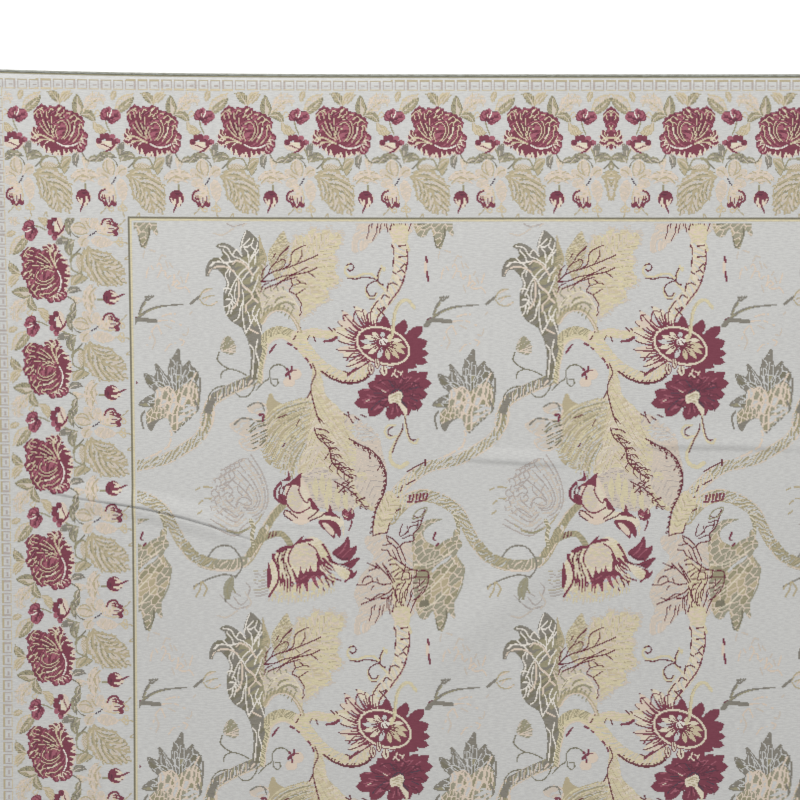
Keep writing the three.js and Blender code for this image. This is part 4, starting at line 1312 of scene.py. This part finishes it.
    mass = loop(
        [(293, 570), (296, 575), (298, 579), (300, 574), (301, 567), (303, 574), (305, 575), (307, 570),
         (309, 574), (311, 567),
         (313, 572), (317, 572), (318, 563), (320, 562), (320.5, 570), (324, 575), (321.5, 579), (325, 587),
         (320, 581), (316, 578),
         (319.5, 590), (314, 584), (312, 580), (309, 583), (308, 594), (305, 587), (302.5, 585), (300, 596),
         (299.5, 587),
         (296.5, 595), (296.5, 584), (294, 577)], 3)
    fill(mass, "burgundy")
    tile.fleck(mass, "rose", 0.22, 93, size=(2, 4), over=("burgundy",))
    for points in (
        ((324, 546), (329, 554), (333, 561)), ((321, 562), (330, 570), (341, 572)), ((322, 566), (329, 575),
            (336, 580), (342, 582)),
        ((326, 571), (332, 578), (339, 581)), ((320, 561), (325, 570), (332, 575)), ((326, 563), (333, 568),
            (338, 568)), ((329, 558), (335, 566), (343, 571)),
        ((318, 556), (322, 566), (328, 573)), ((324, 560), (331, 566), (336, 572)), ((331, 562), (338, 567),
            (346, 569)), ((323, 574), (330, 581), (335, 583)),
    ):
        lines("burgundy", 2.8, points, tip=1.0)
    lines("maroon", 1.4, ((326, 580), (328, 583)), ((329, 584), (330, 588)), ((333, 583), (334, 586)),
        ((324, 590), (325, 592)))
    lines("cream", 1.1, ((323, 567), (328, 574), (334, 578)), ((327, 566), (334, 571)))
    fill(loop([(333, 566), (340, 567), (350, 571), (354, 575), (347, 581), (340, 577)]), "cream")
    tile.fleck(oval((346, 575), 12, 10), "straw", 0.5, 94, over=("cream",))
    for points in (
        [(333, 554), (339, 549), (344, 545), (349, 538), (351, 543), (351.5, 549), (358, 547), (357, 554),
         (354, 558), (350, 562), (344, 562), (338, 559)],
        [(345, 565), (353, 561), (361, 559), (357, 565), (353, 569.5), (349, 569)],
        [(350, 579), (351, 573), (347, 570), (353, 571), (355, 574), (358, 572), (357, 576), (353, 580)],
    ):
        fill(loop(points, 4), "burgundy")
    lines("burgundy", 2.0, ((346, 583), (350, 580), (354, 578)), tip=1.0)
    lines("maroon", 1.4, ((331, 561), (338, 565), (345, 566)))
    lines("rose", 1.0, ((338, 557), (344, 551), (348, 544)), ((343, 559), (349, 553), (353, 550)),
        ((341, 555), (346, 550)), gaps=0.1)
    lines("plum", 1.2, ((336, 556), (342, 560), (349, 560)), ((347, 567), (352, 565)))
    return tile


# How the drawn unit and tile are laid out over the rug, in stitches from its edge.
layout = {
    "band": 148,  # how wide the border is
    "unitLength": 96,
    "endPhase": 618.5,  # where in the unit the middle of an end lies, and the middle of a side
    "sidePhase": 816.9,
    "tileCorner": (154, 151),
    "endShift": 3.4,  # how far the bands lie nearer the middle of an end
    "binding": 4.2,
    "lines": (
        # from, to, yarn
        (0, 19.6, "ground"),
        (146, 148, "moss"),
        (148, 150.2, "straw"),
        (150.2, 151.6, "ground"),
    ),
}

# The row of hollow keys all round, each with a small dash in it, in stitches.
keys = {
    "pitch": 12.4,
    "from": 9,
    "to": 19.6,
    "middle": 14.3,
    "halfWidth": 4.6,
    "halfDepth": 4.4,
    "halfLine": 0.6,
    "outerLineTo": 10.6,
    "innerLineFrom": 18,
    "dash": (0.4, 14.9),
    "halfDash": 2,
}


def composeChart():
    across, along = rug["across"], rug["along"]
    band, unitLength = layout["band"], layout["unitLength"]
    unit = borderUnit()
    tile = fieldTile()
    s = np.abs(np.arange(across) + 0.5 - across / 2)
    t = np.arange(along) + 0.5
    fromSide = across / 2 - s
    fromEnd = np.minimum(t, along - t)
    rows, columns = np.indices((along, across))
    left, top = layout["tileCorner"]
    cells = tile.cells[(rows - top) % tile.cells.shape[0], (columns - left) % tile.cells.shape[1]]
    # The border unit runs in from the middle of each side and of each end.
    unitColumns = np.floor(layout["endPhase"] - s).astype(int) % unitLength
    unitRows = np.floor(fromEnd + layout["sidePhase"]).astype(int) % unitLength
    # The edge is drawn in more than the weave beside it, so the bands lie nearer the middle of an end.
    nearer = layout["endShift"] * (1 - (2 * s / across) ** 4)
    endDepth = fromEnd[:, None] + nearer * np.clip(1 - fromEnd[:, None] / band, 0, 1) ** 4
    for row in range(along):
        if fromEnd[row] < band:
            cells[row] = unit.cells[endDepth[row].astype(int), unitColumns]
        else:
            line = unit.cells[:, unitRows[row]]
            cells[row, :band] = line
            cells[row, -band:] = line[::-1]
    depth = np.minimum(fromSide[None, :], endDepth)
    edgeDepth = np.minimum(fromSide[None, :], fromEnd[:, None])
    for low, high, yarn in layout["lines"]:
        cells[(depth >= low) & (depth < high)] = yarnNames.index(yarn)
    cells[edgeDepth < layout["binding"]] = yarnNames.index("olive")

    atEnd = np.broadcast_to((fromEnd[:, None] < fromSide[None, :]), cells.shape)
    run = np.where(atEnd, np.broadcast_to(s, cells.shape), np.abs(along / 2 - t)[:, None])
    place = (run + keys["pitch"] / 2) % keys["pitch"] - keys["pitch"] / 2
    edge = np.maximum(np.abs(place) - keys["halfWidth"], np.abs(depth - keys["middle"]) - keys["halfDepth"])
    inRow = (depth > keys["from"]) & (depth < keys["to"])
    outline = inRow & (np.abs(edge) < keys["halfLine"])
    aside, dashDepth = keys["dash"]
    dash = (np.abs(place + aside) < keys["halfDash"]) & (np.abs(depth - dashDepth) < keys["halfLine"])
    cells[outline] = yarnNames.index("taupe")
    cells[outline & (depth < keys["outerLineTo"])] = yarnNames.index("tan")
    cells[outline & (depth > keys["innerLineFrom"])] = yarnNames.index("wheat")
    cells[inRow & dash] = yarnNames.index("taupe")
    return cells



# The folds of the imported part, with the sharp ones drawn finer: points of the crest from left to
# right, its rise, and how far it reaches towards the head and towards the foot.
folds = (
    (((-1.225, 0.930), (-1.145, 0.913), (-1.030, 0.896), (-0.955, 0.880), (-0.888, 0.862), (-0.800, 0.833),
        (-0.755, 0.815)), 0.0074, 0.042, 0.0046),
    (((-1.180, 0.9125), (-1.030, 0.8885), (-0.955, 0.8725), (-0.888, 0.8545), (-0.800, 0.8255),
        (-0.758, 0.8085)), 0.0050, 0.0036, 0.030),
    (((-0.345, 1.004), (-0.283, 0.999), (-0.147, 0.990), (-0.095, 0.984)), 0.0045, 0.030, 0.013),
    (((0.060, 1.028), (0.180, 1.029), (0.300, 1.027), (0.420, 1.022)), 0.0045, 0.032, 0.016),
    (((-0.740, 0.958), (-0.620, 0.955), (-0.500, 0.958)), 0.0009, 0.010, 0.006),
    (((-0.735, 0.858), (-0.660, 0.853), (-0.560, 0.850)), 0.0012, 0.012, 0.007),
    (((-0.560, 0.872), (-0.490, 0.868), (-0.400, 0.870)), 0.0010, 0.010, 0.006),
    (((-0.470, 0.490), (-0.060, 0.830)), 0.008, 0.092, 0.074),
    (((-0.400, 1.612), (0.560, 1.588)), 0.004, 0.090, 0.072),
    (((-0.420, 1.420), (0.120, 1.532)), 0.003, 0.095, 0.095),
    (((0.240, 0.340), (0.960, 0.180)), 0.006, 0.150, 0.150),
    (((-1.050, -0.260), (-0.420, -0.520)), 0.005, 0.150, 0.150),
    (((0.120, -1.180), (0.860, -1.010)), 0.006, 0.160, 0.160),
)


# Carries places on the straight chart, in stitches, to the uneven rug, in metres.
def onRug(s, t):
    side = s / (rug["across"] / 2)
    across = rug["halfWidth"] * side * (1 - rug["crowding"] * side**2) / (1 - rug["crowding"])
    end = 1 - 2 * t / rug["along"]
    x = across * (1 - rug["sideDrawIn"] / rug["halfWidth"] * (1 - end**2))
    y = end * rug["halfLength"] - rug["endDrawIn"] * end**3 * (1 - (across / rug["halfWidth"]) ** 4)
    return x, y


def foldHeight(x, y):
    x, y = np.broadcast_arrays(x, y)
    height = np.zeros(x.shape)
    for points, rise, headward, footward in folds:
        crest = curve(points)
        margin = max(headward, footward)
        low, high = crest.min(0) - margin, crest.max(0) + margin
        near = (x > low[0]) & (x < high[0]) & (y > low[1]) & (y < high[1])
        if not near.any():
            continue
        along, off, length = besidePath(crest, x[near], y[near])
        reach = np.abs(off) / np.where(off > 0, headward, footward)
        # A narrow crease keeps its height for longer than a wide swell does.
        fade = np.sin(math.pi * np.clip(along / length, 0, 1)) ** (0.5 if headward < 0.05 else 1.0)
        shape = fade * (1 - np.minimum(reach, 1) ** 2) ** 2
        height[near] += rise * shape
    return height


def addObject(name, data):
    made = bpy.data.objects.new(name, data)
    bpy.context.scene.collection.objects.link(made)
    return made


def smooth(mesh):
    mesh.polygons.foreach_set("use_smooth", np.ones(len(mesh.polygons), bool))


# A flat map over the rug's plan, so that baked pictures of it need no unwrapping.
def mapPlan(mesh):
    margin = 0.01
    corners = np.zeros(len(mesh.loops), np.int32)
    mesh.loops.foreach_get("vertex_index", corners)
    spots = np.zeros(len(mesh.vertices) * 3, np.float32)
    mesh.vertices.foreach_get("co", spots)
    plan = spots.reshape(-1, 3)[corners][:, :2] / (2 * (rug["halfLength"] + margin)) + 0.5
    layer = mesh.uv_layers.new(name="OFBake")
    layer.data.foreach_set("uv", plan.astype(np.float32).ravel())


# A mesh of many faces with the same number of corners.
def makeMesh(name, vertices, faces):
    mesh = bpy.data.meshes.new(name)
    mesh.vertices.add(len(vertices))
    mesh.vertices.foreach_set("co", np.asarray(vertices, np.float32).ravel())
    faces = np.asarray(faces, np.int32)
    corners = faces.shape[1]
    mesh.loops.add(faces.size)
    mesh.loops.foreach_set("vertex_index", faces.ravel())
    mesh.polygons.add(len(faces))
    mesh.polygons.foreach_set("loop_start", np.arange(0, faces.size, corners, dtype=np.int32))
    mesh.polygons.foreach_set("loop_total", np.full(len(faces), corners, np.int32))
    smooth(mesh)
    mesh.update(calc_edges=True)
    mapPlan(mesh)
    return addObject(name, mesh)


# Stations of the sheet's own grid, in stitches from its middle line and from its head end. They lie
# closer together over the sharp folds.
sheetGrid = {
    "rim": 2.95,  # how far the cloth's edge lies inside the chart's, under the cord
    # from, to, spacing
    "columns": ((-630, -588, 7.0), (-588, -348, 2.0), (-348, 631, 9.0)),
    "rows": ((12, 372, 12.0), (372, 486, 1.0), (488, 1700, 12.0)),
    "underColumn": 5,  # the underside keeps one in five of the columns and one in six of the rows
    "underRow": 6,
}


def gridStations():
    half, rim = rug["across"] / 2 - sheetGrid["rim"], sheetGrid["rim"]
    columns = [np.arange(*span) for span in sheetGrid["columns"]]
    rows = [np.arange(*span) for span in sheetGrid["rows"]]
    return np.concatenate([[-half], *columns, [half]]), np.concatenate([[rim], *rows, [rug["along"] - rim]])


# A closed sheet over the grid. Its underside is coarser, and its rim faces have many corners.
def makeSheet(columns, rows):
    s, t = np.meshgrid(columns, rows)
    x, y = onRug(s, t)
    z = foldHeight(x, y)
    top = np.stack([x, y, z + rug["thickness"]], 2)
    across, along = len(columns), len(rows)
    keptColumns = np.unique(np.append(np.arange(0, across, sheetGrid["underColumn"]), across - 1))
    keptRows = np.unique(np.append(np.arange(0, along, sheetGrid["underRow"]), along - 1))
    under = np.stack([x, y, z], 2)[np.ix_(keptRows, keptColumns)]
    vertices = np.vstack([top.reshape(-1, 3), under.reshape(-1, 3)])
    index = np.arange(across * along).reshape(along, across)
    below = across * along + np.arange(under.shape[0] * under.shape[1]).reshape(under.shape[:2])
    faces = []
    for grid, flip in ((index, False), (below, True)):
        a, b, c, d = grid[1:, :-1], grid[1:, 1:], grid[:-1, 1:], grid[:-1, :-1]
        order = (a, d, c, b) if flip else (a, b, c, d)
        faces += np.stack([part.ravel() for part in order], 1).tolist()
    rims = (
        (index[0], below[0], keptColumns, True),
        (index[-1], below[-1], keptColumns, False),
        (index[:, 0], below[:, 0], keptRows, False),
        (index[:, -1], below[:, -1], keptRows, True),
    )
    for upper, lower, kept, flip in rims:
        for i in range(len(kept) - 1):
            ring = [lower[i], lower[i + 1], *upper[kept[i] : kept[i + 1] + 1][::-1]]
            faces.append([int(v) for v in (ring[::-1] if flip else ring)])
    mesh = bpy.data.meshes.new("wool_sheet")
    mesh.from_pydata(vertices.tolist(), [], faces)
    smooth(mesh)
    mapPlan(mesh)
    return addObject("wool_sheet", mesh)


# Height of the sheet's top at places on the chart, from the sheet's own faces.
def topHeight(columns, rows, s, t):
    gridS, gridT = np.meshgrid(columns, rows)
    z = foldHeight(*onRug(gridS, gridT))
    i = np.clip(np.searchsorted(columns, s) - 1, 0, len(columns) - 2)
    j = np.clip(np.searchsorted(rows, t) - 1, 0, len(rows) - 2)
    u = np.clip((s - columns[i]) / (columns[i + 1] - columns[i]), 0, 1)
    v = np.clip((t - rows[j]) / (rows[j + 1] - rows[j]), 0, 1)
    low = z[j, i] * (1 - u) + z[j, i + 1] * u
    high = z[j + 1, i] * (1 - u) + z[j + 1, i + 1] * u
    return low * (1 - v) + high * v


# The chart's runs of one yarn as rectangles of stitches: left, right, top and bottom edges.
def yarnRuns(cells, yarn, columnBreaks, rowBreaks):
    mask = np.pad(cells == yarn, ((0, 0), (1, 1)))
    breaks = np.pad(columnBreaks, ((0, 0), (0, 1)), constant_values=True)
    left = mask[:, 1:] & (~mask[:, :-1] | breaks)
    right = mask[:, :-1] & (~mask[:, 1:] | breaks)
    row, start = np.nonzero(left)
    end = np.nonzero(right)[1]
    order = np.lexsort((row, end, start))
    row, start, end = row[order], start[order], end[order]
    fresh = np.ones(len(row), bool)
    same = (start[1:] == start[:-1]) & (end[1:] == end[:-1]) & (row[1:] == row[:-1] + 1)
    fresh[1:] = ~same | rowBreaks[row[1:], start[1:]]
    first = np.flatnonzero(fresh)
    last = np.append(first[1:], len(row)) - 1
    return start[first], end[first], row[first], row[last] + 1


# A yarn's faces lie just over the sheet. They end at every station inside a fold, and elsewhere
# after this many stitches.
faceReach = {"across": 24, "along": 28}


def makeYarns(cells, columns, rows):
    half, rim = rug["across"] / 2, sheetGrid["rim"]
    s, t = np.arange(rug["across"]) - half, np.arange(rug["along"], dtype=float)
    inFold = foldHeight(*onRug(*np.meshgrid(s + 0.5, t + 0.5))) > 0
    beside = [np.roll(inFold, shift, axis) for shift in (1, -1) for axis in (0, 1)]
    inFold |= np.any(beside, 0)
    columnBreaks = (inFold & np.isin(s, columns)) | (s % faceReach["across"] == 0)
    rowBreaks = (inFold & np.isin(t, rows)[:, None]) | (t % faceReach["along"] == 0)[:, None]
    pieces = {}
    for yarn, name in enumerate(yarnNames):
        if name == "ground" or not (cells == yarn).any():
            continue
        left, right, up, down = yarnRuns(cells, yarn, columnBreaks, rowBreaks)
        cornerS = np.clip(np.stack([left, right, right, left], 1) - half, rim - half, half - rim)
        cornerT = np.clip(np.stack([down, down, up, up], 1), rim, rug["along"] - rim)
        x, y = onRug(cornerS, cornerT)
        z = topHeight(columns, rows, cornerS, cornerT) + rug["thickness"] + rug["yarnLift"]
        vertices = np.stack([x, y, z], 2).reshape(-1, 3)
        faces = np.arange(len(vertices)).reshape(-1, 4)
        pieces[name] = makeMesh(f"yarn_{name}", vertices, faces)
        print("yarn", name, len(faces))
    return pieces


cordForm = {
    "stations": 161,
    "sides": 10,
    "height": 0.005,
    "inset": 3.0,  # how far in from the corner the side cords begin, in stitches
}


# A cord of overcast wool along one edge: a rounded section swept along the edge's line.
def makeCord(name, followsEnd, half):
    count, sides = cordForm["stations"], cordForm["sides"]
    radius, rise = rug["cord"] / 2, cordForm["height"] / 2
    a = np.linspace(-1, 1, count)
    if followsEnd:
        x, y = onRug(a * rug["across"] / 2, np.full(count, 0.0 if half > 0 else rug["along"]))
        y = y - half * rug["cord"] / 2
    else:
        t = (1 - a) / 2 * (rug["along"] - 2 * cordForm["inset"]) + cordForm["inset"]
        x, y = onRug(np.full(count, half * rug["across"] / 2), t)
        x = x - half * rug["cord"] / 2
    rings = []
    for k in range(sides):
        turn = 2 * math.pi * (k + 0.5) / sides
        out = radius * math.cos(turn)
        z = np.full(count, rise + rise * math.sin(turn))
        rings.append(np.stack([x if followsEnd else x + out, y + out if followsEnd else y, z], 1))
    index = np.arange(count * sides).reshape(count, sides)
    around = np.roll(index, -1, 1)
    faces = np.stack([index[:-1], index[1:], around[1:], around[:-1]], 2).reshape(-1, 4).tolist()
    faces += [index[0].tolist(), index[-1][::-1].tolist()]
    mesh = bpy.data.meshes.new(name)
    mesh.from_pydata(np.stack(rings, 1).reshape(-1, 3).tolist(), [], faces)
    smooth(mesh)
    return addObject(name, mesh)


# A value in a material's node tree, with the usual sums.
class Shade:
    def __init__(self, tree, socket):
        self.tree, self.socket = tree, socket

    def node(self, kind, inputs, output=0, **settings):
        made = self.tree.nodes.new(kind)
        for name, value in settings.items():
            setattr(made, name, value)
        for name, value in inputs.items():
            if isinstance(value, Shade):
                self.tree.links.new(value.socket, made.inputs[name])
            else:
                made.inputs[name].default_value = value
        return Shade(self.tree, made.outputs[output])

    def math(self, operation, first, second=0.0):
        return self.node("ShaderNodeMath", {0: first, 1: second}, operation=operation)

    def __add__(self, other):
        return self.math("ADD", self, other)

    def __sub__(self, other):
        return self.math("SUBTRACT", self, other)

    def __mul__(self, other):
        return self.math("MULTIPLY", self, other)

    def mixed(self, first, second):
        sockets = {0: self, 6: first, 7: second}
        return self.node("ShaderNodeMix", sockets, output=2, data_type="RGBA")

    def stretched(self, scale):
        sockets = {0: self, 1: scale}
        return self.node("ShaderNodeVectorMath", sockets, operation="MULTIPLY")

    def noise(self, scale, detail=2.0):
        sockets = {"Vector": self.stretched(scale), "Scale": 1.0, "Detail": detail}
        return self.node("ShaderNodeTexNoise", sockets)


# The colour of a yarn as the stage's light shows it, turned to the shader's own values.
def linear(color):
    c = np.array(color) / 255
    c = np.where(c <= 0.04045, c / 12.92, ((c + 0.055) / 1.055) ** 2.4) / stageLight["level"]
    return (*c.tolist(), 1.0)


stageLight = {
    "level": 1.27,  # how bright a white matt face lies under it
    "sky": 0.85,
    "watts": 190,
}

wool = {
    "roughness": 0.95,
    "sheen": 0.08,
    "ribPitch": 0.00216,  # the height of a stitch
    "ribDepth": 0.0002,
    "bump": 0.5,
    # features in a metre across, along and up, then their detail
    "grain": ((75, 460, 1), 3.0),
    "patches": ((2.2, 2.6, 1), 2.0),
    "fibre": ((420, 900, 200), 1.0),
    "weights": (0.62, 0.26, 0.12),  # of grain, fibre and patches in the heather
    "contrast": 9,
    # the cord's two colours and the share of the second
    "cord": ((158, 161, 154), (112, 110, 92), 0.7),
    "heather": {
        # yarn: the second colour spun in, and its share
        "ground": ((170, 168, 168), 0.4),
        "burgundy": ((108, 44, 62), 0.5),
        "rose": ((142, 74, 90), 0.5),
        "peach": ((204, 190, 178), 0.6),
        "blush": ((208, 194, 178), 0.6),
        "straw": ((190, 180, 158), 0.7),
        "tan": ((170, 158, 128), 0.6),
        "olive": ((136, 130, 104), 0.6),
        "sage": ((140, 136, 114), 0.6),
        "slate": ((114, 110, 102), 0.6),
    },
}


def woolMaterial(name, color, second=None, share=0.0):
    material = bpy.data.materials.new(name)
    material.use_nodes = True
    tree = material.node_tree
    surface = tree.nodes["Principled BSDF"]
    place = Shade(tree, tree.nodes.new("ShaderNodeTexCoord").outputs["Object"])
    grain = place.noise(*wool["grain"])
    patches = place.noise(*wool["patches"])
    fibre = place.noise(*wool["fibre"])
    weights = wool["weights"]
    tone = grain * weights[0] + fibre * weights[1] + patches * weights[2]
    blend = (tone - 0.5) * wool["contrast"] + 0.5
    blend = blend.math("MAXIMUM", blend, 0.0)
    blend = blend.math("MINIMUM", blend, 1.0)
    if second is None:  # a plain yarn is spun with a slightly darker one
        second = [c * 0.88 for c in color]
        share = 0.6
    mixed = (blend * share).mixed(linear(color), linear(second))
    tree.links.new(mixed.socket, surface.inputs["Base Color"])
    surface.inputs["Roughness"].default_value = wool["roughness"]
    surface.inputs["Sheen Weight"].default_value = wool["sheen"]
    ribs = place.node(
        "ShaderNodeTexWave",
        # A wave texture of scale 1 has a wave every pi / 10.
        {"Vector": place, "Scale": math.pi / 10 / wool["ribPitch"], "Distortion": 1.0},
        bands_direction="Y",
    )
    height = ribs * 0.5 + fibre * 0.5
    sockets = {"Strength": wool["bump"], "Distance": wool["ribDepth"], "Height": height}
    bump = place.node("ShaderNodeBump", sockets)
    tree.links.new(bump.socket, surface.inputs["Normal"])
    return material


def useMaterial(made, material):
    made.data.materials.clear()
    made.data.materials.append(material)
    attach(made, "root")


print("chart")
cells = composeChart()
print("sheet")
columns, rows = gridStations()
sheet = makeSheet(columns, rows)
useMaterial(sheet, woolMaterial("ground_wool", yarns["ground"], *wool["heather"]["ground"]))
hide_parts("woven_cloth")

print("yarns")
pieces = makeYarns(cells, columns, rows)
for name, piece in pieces.items():
    second, share = wool["heather"].get(name, (None, 0.0))
    useMaterial(piece, woolMaterial(f"{name}_wool", yarns[name], second, share))

print("cords")
cordMaterial = woolMaterial("cord_wool", *wool["cord"])
for name, followsEnd, half in (
    ("head", True, 1),
    ("foot", True, -1),
    ("left", False, -1),
    ("right", False, 1),
):
    cord = makeCord(f"overcast_cord_{name}", followsEnd, half)
    useMaterial(cord, cordMaterial)
    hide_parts(f"edge_cord_{name}")

print("stage")
stage = {
    "floorHalf": 9,
    "floorPaint": 0.9,
    "floorDrop": 0.0005,  # keeps the floor's face clear of the rug's underside
    "lampPlace": (-1.2, 5.2, 3.0),
    "lampAim": (-0.4, 0.9, 0),
    "lampSize": 1.6,
}
view = {
    "wide": 1.728,  # how much of the floor the picture shows across
    "aim": (-0.456, 1.124),
    "lens": 85,
    "sensor": 36,
}

reach, paint = stage["floorHalf"], stage["floorPaint"]
floorMesh = bpy.data.meshes.new("floor")
corners = [(-reach, -reach, 0), (reach, -reach, 0), (reach, reach, 0), (-reach, reach, 0)]
floorMesh.from_pydata(corners, [], [(0, 1, 2, 3)])
floor = addObject("floor", floorMesh)
floor.location.z = -stage["floorDrop"]
floorPaint = bpy.data.materials.new("floor_paint")
floorPaint.use_nodes = True
floorSurface = floorPaint.node_tree.nodes["Principled BSDF"]
floorSurface.inputs["Base Color"].default_value = (paint, paint, paint, 1)
floorSurface.inputs["Roughness"].default_value = 0.9
floorMesh.materials.append(floorPaint)

lamp = bpy.data.lights.new("headLamp", "AREA")
lamp.energy = stageLight["watts"]
lamp.size = stage["lampSize"]
lampObject = addObject("headLamp", lamp)
lampObject.location = stage["lampPlace"]
aim = Vector(stage["lampAim"]) - Vector(stage["lampPlace"])
lampObject.rotation_euler = aim.to_track_quat("-Z", "Y").to_euler()

world = bpy.data.worlds.new("room")
bpy.context.scene.world = world
world.use_nodes = True
background = world.node_tree.nodes["Background"]
background.inputs["Color"].default_value = (1, 1, 1, 1)
background.inputs["Strength"].default_value = stageLight["sky"]
bpy.context.scene.view_settings.view_transform = "Standard"

camera = bpy.data.cameras.new("camera")
camera.lens = view["lens"]
camera.sensor_width = view["sensor"]
cameraObject = addObject("camera", camera)
distance = view["wide"] / (camera.sensor_width / camera.lens)
cameraObject.location = (*view["aim"], distance + rug["thickness"])
bpy.context.scene.camera = cameraObject
